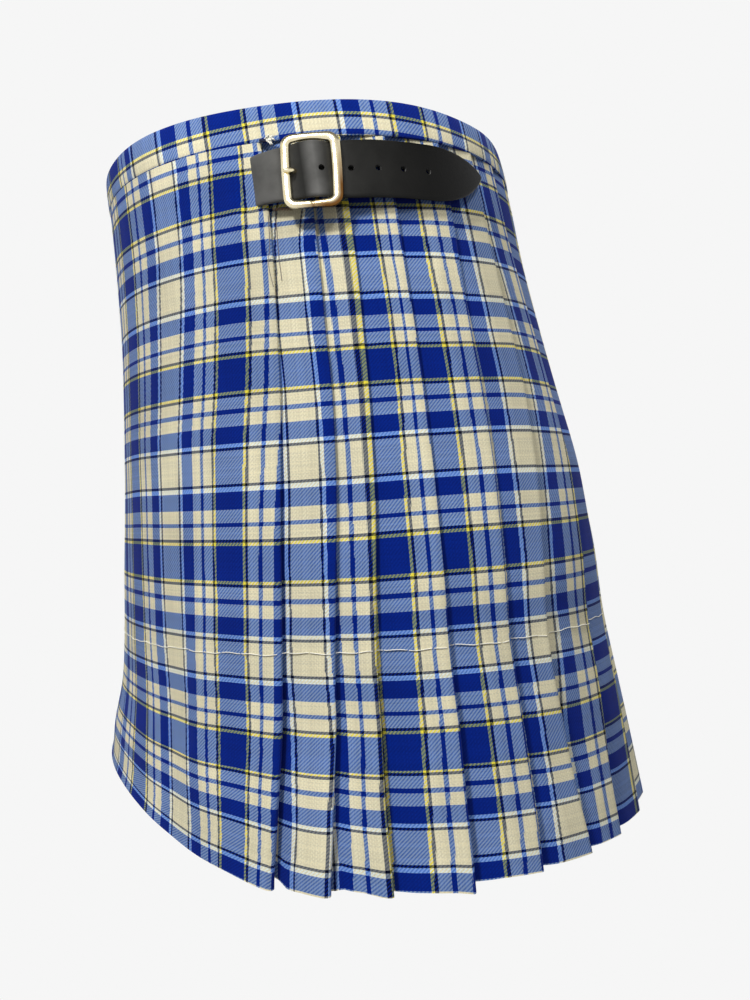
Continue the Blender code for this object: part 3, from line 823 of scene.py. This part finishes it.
# Thread of the sett, weft thread and thread of the weave at each point. The sagging is an average
# weighted with humps of the distance across and down.
def threadMap(threads, arc):
    across, down = sagging["reach"]
    near = hump(arc[..., None] - sagging["arcs"], across) + 1e-6
    low = hump(clothRows[:, None] - sagging["rows"], down) + 1e-6
    columns = low / low.sum(-1, keepdims=True) @ sagging["threads"]
    weft = clothRows[:, None] - (near * columns[:, None]).sum(-1) / near.sum(-1)
    return np.stack((threads[..., 0], weft, threads[..., 1]), -1)


def foldCloth(corners, reaches, runs, bend):
    wide = [[np.broadcast_to(value, clothDrops.shape) for value in corner] for corner in corners]
    return foldedRoute(np.moveaxis(np.array(wide), 2, 0), reaches, runs, bend)


# Shell of a folded piece, hung on the form and lowered by its sag, with only the cells that keep leaves.
def makeCloth(name, node, held, arc, depth, threads, sag=0, keep=None):
    points = hang(arc, depth)
    points[..., 2] -= sag
    obj = shell(name, points, threadMap(threads, arc), clothThickness, clothLook, keep)
    enter(obj, node)


# A row of pleats, from a short piece behind the pleat before it to the last one's leg.
def makePleats(name, node, first, last):
    under = foldEdge(first - 1, clothDrops) - underlap(first - 1, clothDrops)
    seam = returnDepth(first - 1, clothDrops) + clothThickness + pleats["seamGap"]
    corners = [(under, seam, windowThreads(first, clothDrops)[0] - pleats["seamThreads"], 0)]
    for pleat in range(first, last + 1):
        corners += pleatCorners(pleat, clothDrops)
    count = last - first + 1
    runs = (2, *pleats["runs"] * count)[:-1]
    folded = foldCloth(corners, (0, *pleats["reaches"] * count), runs, pleats["bend"])
    makeCloth(name, node, "folded", *folded)


def cellMiddles(values):
    return (values[1:, 1:] + values[:-1, :-1]) / 2


# The apron lies flat from its free edge, lapped over the last pleat, to its fold at the left hip. Its
# loose front corner hangs lower by a hump about the fold times the fifth power of the drop.
def makeOuterApron():
    edge = foldEdge(0, clothDrops)
    free = foldEdge(pleats["count"], clothDrops) - girthAt(clothDrops)
    steps, rows, lap = apron["threadSteps"], apron["threadRows"], -apron["lapHeight"]
    counts = [softly(clothRows, rows, column) for column in apron["threads"].T]
    corners = []
    for past, level in ((-apron["lap"], lap), (apron["lapEdge"], lap), (apron["lapRun"], 0)):
        arc = free + past
        corners.append((arc, level, apron["freeThread"] + past / thread, (arc - edge) / thread))
    centre = -girthAt(clothDrops) / 4
    middle = np.interp(clothDrops, (0, hemDrop), apron["centreThreads"])
    corners.append((centre, 0, middle, (centre - edge) / thread))
    for step, count in zip(steps[::-1], counts[::-1]):
        corners.append((edge - step * thread, 0, count, -step))
    corners += returnCorners(0, clothDrops, counts[0])
    arc, depth, threads = foldCloth(corners, apron["reaches"], apron["runs"], apron["bend"])
    drops = clothDrops[:, None]
    first, last = strap["slit"]
    cellArc, cellDepth = cellMiddles(arc), cellMiddles(depth)
    inSlit = (cellArc > first) & (cellArc < last) & (cellDepth < strap["slitDeepest"])
    inSlit &= np.abs((drops[1:] + drops[:-1]) / 2 - strapDrop(strap["slitFrom"])) < strap["slitHalf"]
    low, reach, power = apron["sag"]
    sag = low * hump(arc - edge[:, None], reach) * (drops / hemDrop) ** power
    makeCloth("outerApron", "outer_apron", "hung", arc, depth, threads, sag, ~inSlit)


# The under apron comes out from behind the last pleat's leg, sinks to its own level over the lap's run
# and goes on to its end under the left hip.
def makeUnderApron():
    last = pleats["count"]
    edge, under = foldEdge(last, clothDrops), underlap(last, clothDrops)
    pitch, deep = loosened("pitch", clothDrops), returnDepth(last, clothDrops)
    end = girthAt(clothDrops) + foldEdge(0, clothDrops) - underlap(0, clothDrops) - apron["underEnd"]
    begin, level = edge + pleats["clearance"], apron["underLevel"]
    corners = [
        (edge - under, deep + clothThickness + pleats["seamGap"]), (edge - under, deep + pitch),
        (begin, 2 * pitch), (edge + apron["lapRun"], level), (end, level),
    ]
    corners = [
        (arc, depth, apron["underThread"] + (arc - begin) / thread, (arc - edge) / thread)
        for arc, depth in corners
    ]
    folded = foldCloth(corners, apron["underReaches"], apron["underRuns"], pleats["bend"])
    makeCloth("underApron", "under_apron", "hung", *folded)


waistband = {
    "thickness": 0.0024,
    "edgeThickness": 0.45,  # share of the thickness left at the very edges
    "columns": 520,
    "rows": 15,
    "edges": (0.0002, 0.0004),  # how far its top and its bottom edge stop short of its depth
    "lapHeight": 0.0033,
    "dips": ((0.125, 0.035, 0.0016), (-0.125, 0.035, 0.0018)),  # where its top edge is lower
    # arc in tenths of a millimetre, and the warp thread there
    "threads": np.array((
        (-1040, -233), (-877, -160), (-606, -98), (-288, -25), (-88, 25), (220, 105), (404, 153),
        (539, 187), (606, 208), (721, 233), (898, 283), (1004, 307), (1134, 334), (1217, 352), (1337, 387),
    )) * (1e-4, 1),
    "threadPast": 0.00038,  # width of a thread past both ends of that table
    "rowsOfThread": (-3.0, 48.0),
    "raised": (7, 0.040, 0.055),  # threads, and the middle and reach along the arc
}


# One strip over the apron, round the back and on inside the front. Its height is the lap's at the free
# end and falls to nothing, and after the last pleat it sinks below the apron's level; its thickness
# swells as the square root of 1 minus the fourth power of the distance from the middle.
def makeWaistband():
    across = np.sin(np.linspace(-np.pi / 2, np.pi / 2, waistband["rows"]))
    down = (across + 1) / 2
    top, bottom = waistband["edges"]
    drops = top + (form["bandDepth"] - top - bottom) * down
    around, last = girthAt(drops), foldEdge(pleats["count"], drops)
    start = last - around - apron["lap"]
    end = around + foldEdge(0, drops) - 2 * apron["underEnd"]
    arc = start[:, None] + (end - start)[:, None] * np.linspace(0, 1, waistband["columns"])
    before = arc + (around - last)[:, None]
    easeIn, easeOut = (ease(a, 0, apron["lapRun"]) for a in (before, arc - last[:, None]))
    height = np.where(arc < 0, waistband["lapHeight"] * (1 - easeIn), -apron["underLevel"] * easeOut)
    dip = sum(deep * hump(arc - middle, wide) for middle, wide, deep in waistband["dips"])
    points = place(arc, height, drops[:, None] + dip * (1 - down[:, None]))
    places, counts = waistband["threads"].T
    beyond = np.array((-1.0, 2.0))
    ends = counts[[0, -1]] + (beyond - places[[0, -1]]) / waistband["threadPast"]
    warp = np.interp(arc, (beyond[0], *places, beyond[1]), (ends[0], *counts, ends[1]))
    low, high = waistband["rowsOfThread"]
    count, middle, reach = waistband["raised"]
    weft = (low + (high - low) * down)[:, None] + count * hump(arc - middle, reach)
    swell = waistband["edgeThickness"] + (1 - waistband["edgeThickness"]) * np.sqrt(1 - across**4)
    thickness = (waistband["thickness"] * swell)[:, None, None]
    obj = shell("waistBand", points, np.stack((warp, weft, arc / thread), -1), thickness, clothLook)
    enter(obj, "waistband")


strap = {
    "thickness": 0.0023,
    "halves": ((-0.026, 0.0137), (-0.004, 0.0150), (0.010, 0.0150), (0.020, 0.0156)),  # arc, half width
    "slit": (-0.0074, -0.0036),  # arcs of the two edges of the slit in the apron
    "slitFrom": -0.03,  # place along the strap that the slit's drop is taken from
    "slitHalf": 0.0135,
    "slitDeepest": 0.0006,  # only the outer layer of cloth is slit
    "drop": 0.0408,
    "lowered": ((-0.03, 0.0021), (0.0, 0.0016), (0.02, 0.0014), (0.07, 0.0009)),  # arc, how much lower
    "rise": (0.0050, 0.060, 0.108),  # of its end, and the arcs between which it rises
    "tip": (0.063, 0.1045),  # arcs between which it narrows
    "tipPoint": 0.75,
    "tipLeast": 0.0004,  # what is left of that square at the very tip
    "holes": (0.0041, 0.0186, 0.0323, 0.0461, 0.0611),
    "holeRadius": 0.0016,
    "holeSides": 20,
    "punch": (-0.0003, 0.0150),  # heights between which a hole is punched
    "columns": 380,
    "rows": 19,
    "evening": 0.0016,
    # millimetres of arc from the buckle's middle, and of the leather's middle up from the form
    "overBuckle": (
        (-20.3, 4.3), (-17.3, 4.7), (-13.8, 5.2), (-11.3, 5.9), (-8.5, 6.8), (-5.5, 8.2), (-2.8, 9.2),
        (0, 9.5), (2.9, 9.1), (5.7, 7.9), (8.2, 6.2), (10.7, 4.7), (13.2, 4.8), (16.7, 5.0), (25.7, 5.1),
        (33.7, 5.0), (41.7, 4.3), (49.7, 3.9), (57.0, 3.6), (64.0, 3.4), (104.5, 3.1),
    ),
    "throughSlit": ((-66.3, -2.2), (-56.3, -2.2), (-46.3, -2.2), (-34.0, -2.2), (-27.5, 2.2)),
    "onApron": ((-66.3, 2.4), (-56.3, 3.4), (-46.3, 4.45), (-34.3, 4.45)),
}

ribbon = {
    "endInset": 0.0001,
    "rounding": 0.6,  # of its edges, against its thickness
    "thinnest": 0.06,  # square of the share of the thickness that is left at the edges
}


# Route through a few points in millimetres, resampled at even lengths and evened out.
def evenRoute(points, count, evening):
    points = np.array(points) * 0.001
    length = lengthAlong(points)
    at = np.linspace(0, length[-1], count)
    return evened(tableAt(at, length, points), evening / at[1])


# Half width of the strap: narrow at the slit, full from the buckle on, and at the tip 1 minus the square
# of the share into it, to a power that points it.
def strapHalf(arc):
    point = np.maximum(1 - shareOf(arc, *strap["tip"]) ** 2, strap["tipLeast"]) ** strap["tipPoint"]
    return np.interp(arc, *np.array(strap["halves"]).T) * point


# The strap's drop is lowered by a table, and its end rises by the square of the share into it.
def strapDrop(arc):
    rise, first, last = strap["rise"]
    lowered = np.interp(arc, *np.array(strap["lowered"]).T)
    return strap["drop"] + lowered - rise * shareOf(arc, first, last) ** 2


# Leather along a route, its thickness a quarter circle's near the edges: the square root of 1 minus
# the square of how far a point is into the edge's own rounding.
def makeRibbon(name, route, half, thickness, side, at, rows):
    across = np.sin(np.linspace(-np.pi / 2, np.pi / 2, rows))[:, None]
    arc, height = route.T
    width = half(arc)
    points = place(at + arc, height, strapDrop(arc) + across * width, side)
    inside = np.minimum((1 - np.abs(across)) * width, np.abs(arc - arc[-1]) + ribbon["endInset"])
    into = 1 - np.clip(inside / (ribbon["rounding"] * thickness), 0, 1)
    edge = thickness * np.sqrt(np.maximum(1 - into**2, ribbon["thinnest"]))
    threads = np.stack(np.broadcast_arrays(arc, across * width), -1)
    return shell(name, points, threads, edge[..., None], leatherLook)


# Punches the strap's holes with cylinders that are taken away again.
def punchHoles(obj, side, at):
    shape, radius = bmesh.new(), strap["holeRadius"]
    for arc in strap["holes"]:
        low, high = (Vector(place(at + arc, height, strapDrop(arc), side)) for height in strap["punch"])
        turn = (high - low).to_track_quat("Z", "Y").to_matrix().to_4x4()
        turn.translation = (low + high) / 2
        bmesh.ops.create_cone(
            shape, cap_ends=True, segments=strap["holeSides"], radius1=radius, radius2=radius,
            depth=(high - low).length, matrix=turn,
        )
    cutter = linked("cutter", bpy.data.meshes.new("cutter"))
    shape.to_mesh(cutter.data)
    shape.free()
    boolean = obj.modifiers.new("holes", "BOOLEAN")
    boolean.operation = "DIFFERENCE"
    boolean.object = cutter
    boolean.solver = "EXACT"
    bpy.context.view_layer.update()
    graph = bpy.context.evaluated_depsgraph_get()
    whole, punched = obj.data, bpy.data.meshes.new_from_object(obj.evaluated_get(graph))
    obj.modifiers.clear()
    obj.data = punched
    bpy.data.meshes.remove(whole)
    bpy.data.objects.remove(cutter, do_unlink=True)


# Strap of one side, from the start of its own route on over the buckle, with its holes punched.
def makeStrap(word, side, at, start):
    route = evenRoute(strap[start] + strap["overBuckle"], strap["columns"], strap["evening"])
    thickness, rows = strap["thickness"], strap["rows"]
    obj = makeRibbon("strap" + word, route, strapHalf, thickness, side, at, rows)
    punchHoles(obj, side, at)
    enter(obj, "strap_" + word.lower())


buckle = {
    "left": 0.0240,  # arcs of the two middle bars, each from its own side line
    "right": 0.0480,
    "halfWidth": 0.0121,
    "halfHeight": 0.0173,
    "corner": 0.0036,
    "cornerPoints": 9,
    "points": 280,
    "barrel": 0.035,  # how far the sides swell
    "shear": 0.074,  # lean of the frame, as arc for each unit of drop
    "shift": -0.0009,
    "lowered": 0.0018,  # from the strap's drop down to its middle
    "frameHeight": 0.0077,
    "section": (2.4, 24),  # squareness of the frame's section, and the points round it
    "frameHalfWidth": 0.0020,
    "sideWidening": 0.0004,
    "frontWidening": 0.0004,  # of the bar that the strap runs on under
    "frameHalfDepth": 0.0019,
    "seam": (0.0003, 0.0007),  # depth and reach of the joint in the lower bar
    # painted shade and painted dark reflection by the share of the way to the lower front corner and by how
    # far out on the section, and patina in the joint
    "paintedShadeCorner": (0.7, -0.05),
    "paintedShadeOut": (1.6, 0.2),
    "patinaJoint": 0.25,
    "barHeight": 0.0048,
    "barLift": (0.0014, 0.86),  # how far its ends lift to the frame, and the share where they begin
    "barPoints": 41,
    "barRadius": 0.0012,
    "chapeThickness": 0.0015,
    "chapeHalf": 0.0125,
    "chapePoints": (130, 13),
    "chapeEvening": 0.0007,
    "chapeRoute": (
        (32, 2), (24.7, 2), (17.7, 2), (10.7, 2), (4.7, 2), (2.2, 2.05), (0, 2.4), (-1.7, 3.1),
        (-2.4, 4.8), (-1.7, 6.5), (0, 7.2), (1.7, 6.5), (2.7, 5.2), (3.7, 4.3), (5.5, 3.95),
    ),
    "prongRoute": (
        (-1.5, 4.8), (-5.8, 4.5), (-7.5, 4.8), (-8.5, 6.4), (-9.3, 8.4), (-10.7, 10.3), (-14.3, 11.2),
    ),
    "prongPoints": 60,
    "prongEvening": 0.0008,
    "prongTaper": ((0, 44, 55, 59), (1, 1, 0.8, 0.4)),
    "prongRadius": 0.00135,
}


# Tube along a path: the section's points, across and out, carried on the path's own side and up
# directions. Gives rows by columns of points.
def sweep(path, sideways, up, section):
    return path[:, None] + section[..., :1] * sideways[:, None] + section[..., 1:] * up[:, None]


# Closed tube of quads from rows by columns of points; its two ends are joined where looped, and
# capped otherwise.
def tube(name, points, material, looped):
    rows, columns = points.shape[:2]
    index = np.arange(rows * columns).reshape(rows, columns)
    index = np.pad(index, ((0, int(looped)), (0, 1)), "wrap")
    faces = gridQuads(index)[..., [0, 3, 2, 1]].reshape(-1, 4)
    obj = meshObject(name, points.reshape(-1, 3), faces, material)
    shape = bmesh.new()
    shape.from_mesh(obj.data)
    if not looped:
        bmesh.ops.holes_fill(shape, edges=[e for e in shape.edges if e.is_boundary])
    bmesh.ops.recalc_face_normals(shape, faces=shape.faces)
    shape.to_mesh(obj.data)
    shape.free()
    return obj


# Rectangle with a quarter circle at each corner, as points at even lengths round it.
def roundedRectangle():
    half = np.array((buckle["halfWidth"], buckle["halfHeight"])) - buckle["corner"]
    turn = (np.arange(4)[:, None] + np.linspace(0, 1, buckle["cornerPoints"])) * np.pi / 2
    centres = half * ((1, 1), (-1, 1), (-1, -1), (1, -1))
    circle = buckle["corner"] * np.stack((np.cos(turn), np.sin(turn)), -1)
    outline = (circle + centres[:, None]).reshape(-1, 2)
    closed = np.vstack((outline, outline[:1]))
    length = lengthAlong(closed)
    return tableAt(np.linspace(0, length[-1], buckle["points"], endpoint=False), length, closed)


def upAt(arc, drop, side):
    return unit(place(arc, 0.01, drop, side) - place(arc, 0.0, drop, side))


# Points round a superellipse of radius 1.
def roundSection(squareness, count):
    return np.stack(squareTurn(np.linspace(0, 2 * np.pi, count, endpoint=False), squareness), 1)


# Rod of circles round a path on the form, each as wide as the radius there.
def rodAlong(name, arc, height, drop, radius, material, around=14, side=1):
    path = place(arc, height, drop, side)
    along, up = unit(np.gradient(path, axis=0)), upAt(arc, drop, side)
    across = unit(np.cross(along, up))
    section = roundSection(2, around)[None] * np.broadcast_to(radius, arc.shape)[:, None, None]
    return tube(name, sweep(path, across, np.cross(across, along), section), material, False)


# Frame of a buckle: its sides swell by 1 minus the square of the share along them, and its bars widen
# with the square of the share across.
def makeFrame(word, side, at, middle):
    outline = roundedRectangle()
    shares = outline / outline.max(0)
    outline = outline * (1 + buckle["barrel"] * (1 - shares[:, ::-1] ** 2))
    arc = at + buckle["shift"] + outline[:, 0] - buckle["shear"] * outline[:, 1]
    drop = middle + outline[:, 1]
    path = place(arc, buckle["frameHeight"], drop, side)
    along, up = unit(np.roll(path, -1, 0) - np.roll(path, 1, 0)), upAt(arc, drop, side)
    wide = buckle["frameHalfWidth"] + buckle["sideWidening"] * shares[:, 0] ** 2
    wide += buckle["frontWidening"] * np.maximum(shares[:, 0], 0) ** 2
    deep, reach = buckle["seam"]
    joint = hump(outline[:, 0], reach) * (shares[:, 1] > 0)
    halves = np.stack((wide, np.full(len(wide), buckle["frameHalfDepth"])), 1) - deep * joint[:, None]
    section = roundSection(*buckle["section"])[None] * halves[:, None]
    points = sweep(path, unit(np.cross(along, up)), up, section)
    obj = tube("buckleFrame" + word, points, brassLook, True)
    away = np.einsum("ijk,ik->ij", points - path[:, None], unit(path - path.mean(0))) / wide[:, None]
    # Brown at the lower front corner and on the outer side is painted shade and dark reflection; in the
    # joint it is patina.
    corner, out = (
        np.clip(rate * amount + start, 0, 1)
        for amount, (rate, start) in (
            (shares.sum(1, keepdims=True), buckle["paintedShadeCorner"]), (away, buckle["paintedShadeOut"]),
        )
    )
    patinaAndShade = out * corner + buckle["patinaJoint"] * joint[:, None]
    layer = obj.data.attributes.new("patinaAndShade", "FLOAT", "POINT")
    layer.data.foreach_set("value", patinaAndShade.astype(np.float32).ravel())
    return obj


# Frame, bar, prong and tab of one buckle.
def makeBuckle(word, side):
    at, middle = buckle[word.lower()], strap["drop"] + buckle["lowered"]
    enter(makeFrame(word, side, at, middle), "buckle_frame_" + word.lower())
    shares = np.linspace(-1, 1, buckle["barPoints"])
    lift, begins = buckle["barLift"]
    height = buckle["barHeight"] + lift * shareOf(np.abs(shares), begins, 1)
    drop = middle + shares * buckle["halfHeight"]
    arc, radius = np.full(len(shares), at), buckle["barRadius"]
    bar = rodAlong("buckleBar" + word, arc, height, drop, radius, brassLook, side=side)
    count = buckle["prongPoints"]
    arc, height = evenRoute(buckle["prongRoute"], count, buckle["prongEvening"]).T
    radius = buckle["prongRadius"] * np.interp(np.arange(count), *buckle["prongTaper"])
    drop = np.full(count, middle)
    prong = rodAlong("buckleProng" + word, at + arc, height, drop, radius, brassLook, side=side)
    columns, rows = buckle["chapePoints"]
    chape = makeRibbon(
        "buckleChape" + word, evenRoute(buckle["chapeRoute"], columns, buckle["chapeEvening"]),
        lambda a: np.full(a.shape, buckle["chapeHalf"]), buckle["chapeThickness"], side, at, rows,
    )
    enter(bar)
    enter(prong, "buckle_prong_" + word.lower())
    enter(chape, "buckle_chape_" + word.lower())


stitching = {
    "tackDrop": 0.2873,
    "tackRadius": 0.00024,
    "tackStitch": 0.0125,
    "tackPoints": 2600,
    "tackEvening": 9,  # points over which it evens out the steps from pleat to pleat
    "tackHeight": 0.0003,
    "tackDip": (0.0016, 0.035),  # depth between stitches, and its reach as a share of a stitch
    "wavers": ((0.00035, 160, 0), (0.00025, 410, 1)),  # how far, radians per metre, and where they begin
    # each wisp's arc and drop, how far its end is from there, how far it stands out, and its radius,
    # in hundredths of a millimetre; the knot's come last
    "wisps": np.array((
        (200, 2160, 300, 160, 240, 70), (260, 2100, 420, -40, 280, 65), (160, 2080, 300, -160, 260, 60),
        (300, 2220, 220, 300, 200, 60), (140, 2140, 300, 400, 220, 45), (380, 2120, 300, 200, 280, 55),
        (-100, 2120, 300, 140, 100, 95),
    )) * 1e-5,
    "wispHeight": 0.0012,
    "wispPoints": 12,
    "wispBend": 0.25,
    "wispTurn": 2.2,  # radians of the sine that its height follows
    "wispTaper": 0.6,
    # slanted stitches that hold the edge under the buckle, from one (arc, drop) to the other
    "edgeStitches": ((0.0002, 0.0583), (0.0098, 0.0592), 13),
    "edgeStitch": (0.0005, 0.0016, 0.0006, 0.00026),
    "edgeHeight": 0.0004,
    # a seam, then a grey thread line along a fold crease that stands for the crease's shade as painted
    # shade; millimetres of arc and drop
    "seamAndCreaseLines": (
        ((1.0, 59.0), (0.6, 68.0), (-0.6, 82.0), (-1.0, 96.5)),
        ((-2.5, 60.5), (-4.0, 80.0), (-6.8, 86.0), (-5.0, 104.0)),
    ),
    "seamPoints": 60,
    "seamEvening": 0.004,
    "seamRadius": 0.00016,
    "seamHeight": 0.00005,
}


# Outermost side of the cloth: 0 on the apron and the panel's depth on each pleat, and the creases.
def clothHeight(arc, drop, creaseDrop, evening=1):
    depth = np.zeros(arc.shape)
    for pleat in range(1, pleats["count"] + 1):
        before, edge = foldEdge(pleat - 1, drop), foldEdge(pleat, drop)
        share = (arc - before) / (edge - before)
        depth = np.where((share > 0) & (share < 1), panelDepth(share, drop), depth)
    depth = np.convolve(np.pad(depth, evening // 2, "edge"), np.ones(evening) / evening, "valid")
    return creaseHeight(arc, creaseDrop) - depth + clothThickness / 2


# White tacking thread right round the pleats and apron. It dips through the cloth between stitches, by
# a narrow hump each time, and wavers by two sines.
def makeTacking():
    drop = stitching["tackDrop"]
    last = float(foldEdge(pleats["count"], drop))
    start = last - float(girthAt(drop)) + apron["lap"]
    arc = np.linspace(start, last, stitching["tackPoints"])
    drops = drop + sum(far * np.sin(arc * rate + begin) for far, rate, begin in stitching["wavers"])
    height = clothHeight(arc, np.full(arc.shape, drop), drops, stitching["tackEvening"])
    dip, reach = stitching["tackDip"]
    dips = dip * hump((arc / stitching["tackStitch"]) % 1 - 0.5, reach)
    lap = apron["lapHeight"] * (1 - shareOf(arc, start, start + apron["lapRun"]))
    height = height + stitching["tackHeight"] - dips + lap
    obj = rodAlong("tackingThread", arc, height, drops, stitching["tackRadius"], threadLook, 6)
    enter(obj)


# Short curved thread: its height and its bend follow the sine of the share along it, and it thins by
# the cube of that share.
def wisp(name, base, material, arc, drop, alongArc, alongDrop, out, radius):
    share = np.linspace(0, 1, stitching["wispPoints"])
    arc = arc + alongArc * (share + stitching["wispBend"] * np.sin(np.pi * share))
    height = base + out * np.sin(stitching["wispTurn"] * share)
    thin = radius * (1 - stitching["wispTaper"] * share**3)
    obj = rodAlong(name, arc, height, drop + alongDrop * share, thin, material, 8)
    enter(obj)


def makeStitches():
    *wisps, knot = stitching["wisps"]
    for number, values in enumerate(wisps, 1):
        wisp(f"frayedThread{number}", stitching["wispHeight"], threadLook, *values)
    wisp("frayedKnot", stitching["wispHeight"], darkLook, *knot)
    first, last, count = stitching["edgeStitches"]
    for number, share in enumerate(np.linspace(0, 1, count), 1):
        spot = (a + (b - a) * share for a, b in zip(first, last))
        name = f"edgeStitch{number}"
        wisp(name, stitching["edgeHeight"], brownLook, *spot, *stitching["edgeStitch"])
    # The first line is a seam; the second is painted crease shade along a fold.
    for number, spots in enumerate(stitching["seamAndCreaseLines"], 1):
        arc, drop = evenRoute(spots, stitching["seamPoints"], stitching["seamEvening"]).T
        height = clothHeight(arc, drop, drop) + stitching["seamHeight"]
        obj = rodAlong(f"seamAndCreaseLine{number}", arc, height, drop, stitching["seamRadius"], seamAndCreaseLook, 8)
        enter(obj)


makeOuterApron()
makePleats("pleatsLeft", "pleats_left", 1, 6)
makePleats("pleatsBack", "pleats_back", 7, 12)
makePleats("pleatsRight", "pleats_right", 13, 18)
makeUnderApron()
print("cloth hung")
makeWaistband()
print("waistband made")
makeStrap("Left", 1, buckle["left"], "throughSlit")
makeStrap("Right", -1, buckle["right"], "onApron")
makeBuckle("Left", 1)
makeBuckle("Right", -1)
print("straps and buckles made")
makeTacking()
makeStitches()
print("stitches made")


view = {
    "azimuth": 97.28,
    "distance": 0.6623,
    "sideways": 0.0401,
    "height": -0.2051,
    "focal": 964.6,  # in pixels of an image 750 by 1000
    "horizon": 490.16,
    "roll": -1.02,
}

studio = {
    "floor": (-1.05, 6.0, 9.0),  # height, radius where it begins to rise, and radius of its rim
    "flatRings": 7,
    "risingRings": 12,
    "spokes": 73,
    "rise": 9,  # of the rim above the floor
    "brightness": 0.9216,  # of the floor's own glow
    "world": (paint(246, 246, 246), 0.22),  # light from all round, and its strength
    "tint": (1.0, 0.98, 0.94),
    "facing": (0, 0, -0.2),  # what every light points at
    # place, size, power, and whether it lights shine or else plain colours
    "key": ((1.45, -0.62, 1.45), 0.25, 38, False),
    "side": ((1.25, 0.80, 1.45), 0.30, 12.5, False),
    "back": ((-1.6, 0.6, 1.2), 1.2, 30, False),
    "shine": ((2.2, -0.15, 0.95), 0.8, 34, True),
}


# Level camera at the given azimuth, turned about its own axis by the roll; its shift puts the horizon
# at the given row.
def makeCamera():
    turn, roll = np.radians(view["azimuth"]), np.radians(view["roll"])
    forward = np.array((-np.sin(turn), np.cos(turn), 0))
    right, up = np.array((np.cos(turn), np.sin(turn), 0)), np.array((0, 0, 1.0))
    spot = -forward * view["distance"] + right * view["sideways"] + up * view["height"]
    rolledRight = right * np.cos(roll) + up * np.sin(roll)
    rolledUp = up * np.cos(roll) - right * np.sin(roll)
    matrix = np.eye(4)
    matrix[:3] = np.stack((rolledRight, rolledUp, -forward, spot), 1)
    camera = bpy.data.cameras.new("camera")
    camera.sensor_fit = "VERTICAL"
    camera.sensor_height = 36.0
    camera.lens = view["focal"] * 36 / 1000
    camera.shift_y = (view["horizon"] - 500) / 1000
    camera.clip_start = 0.02
    obj = linked("camera", camera)
    obj.matrix_world = Matrix(matrix)
    bpy.context.scene.camera = obj


# Round floor that glows evenly and rises with the square of the share from its bend to its rim.
def makeStage():
    material, tree, shader = newMaterial("paleFloor")
    setSockets(tree, shader, {
        "Base Color": (0, 0, 0, 1), "Specular IOR Level": 0.0, "Roughness": 1.0,
        "Emission Color": (1, 1, 1, 1), "Emission Strength": studio["brightness"],
    })
    level, bend, rim = studio["floor"]
    flat = np.linspace(0, bend, studio["flatRings"])
    rising = np.linspace(bend + 0.5, rim, studio["risingRings"])
    radius = np.concatenate((flat, rising))[:, None]
    turn = np.linspace(0, 2 * np.pi, studio["spokes"])[None, :]
    height = level + studio["rise"] * shareOf(radius, bend, rim) ** 2 + 0 * turn
    points = np.stack((radius * np.cos(turn), radius * np.sin(turn), height), -1)
    faces = gridQuads(np.arange(height.size).reshape(height.shape)).reshape(-1, 4)
    floor = meshObject("floor", points.reshape(-1, 3), faces, material)
    floor.visible_diffuse = False


# Square soft light that faces the middle of the kilt.
def softLight(name):
    spot, size, power, shines = studio[name]
    light = bpy.data.lights.new(name, "AREA")
    light.shape = "SQUARE"
    light.size = size
    light.energy = power
    light.color = studio["tint"]
    obj = linked(name, light)
    obj.location = spot
    towards = Vector(studio["facing"]) - obj.location
    obj.rotation_euler = towards.to_track_quat("-Z", "Y").to_euler()
    obj.visible_diffuse, obj.visible_glossy = not shines, shines


makeCamera()
makeStage()
world = bpy.data.worlds.new("studio")
world.use_nodes = True
colour, strength = world.node_tree.nodes["Background"].inputs[:2]
colour.default_value, strength.default_value = studio["world"]
bpy.context.scene.world = world
for name in ("key", "side", "back", "shine"):
    softLight(name)
bpy.context.scene.view_settings.view_transform = "Standard"

print("scene made")
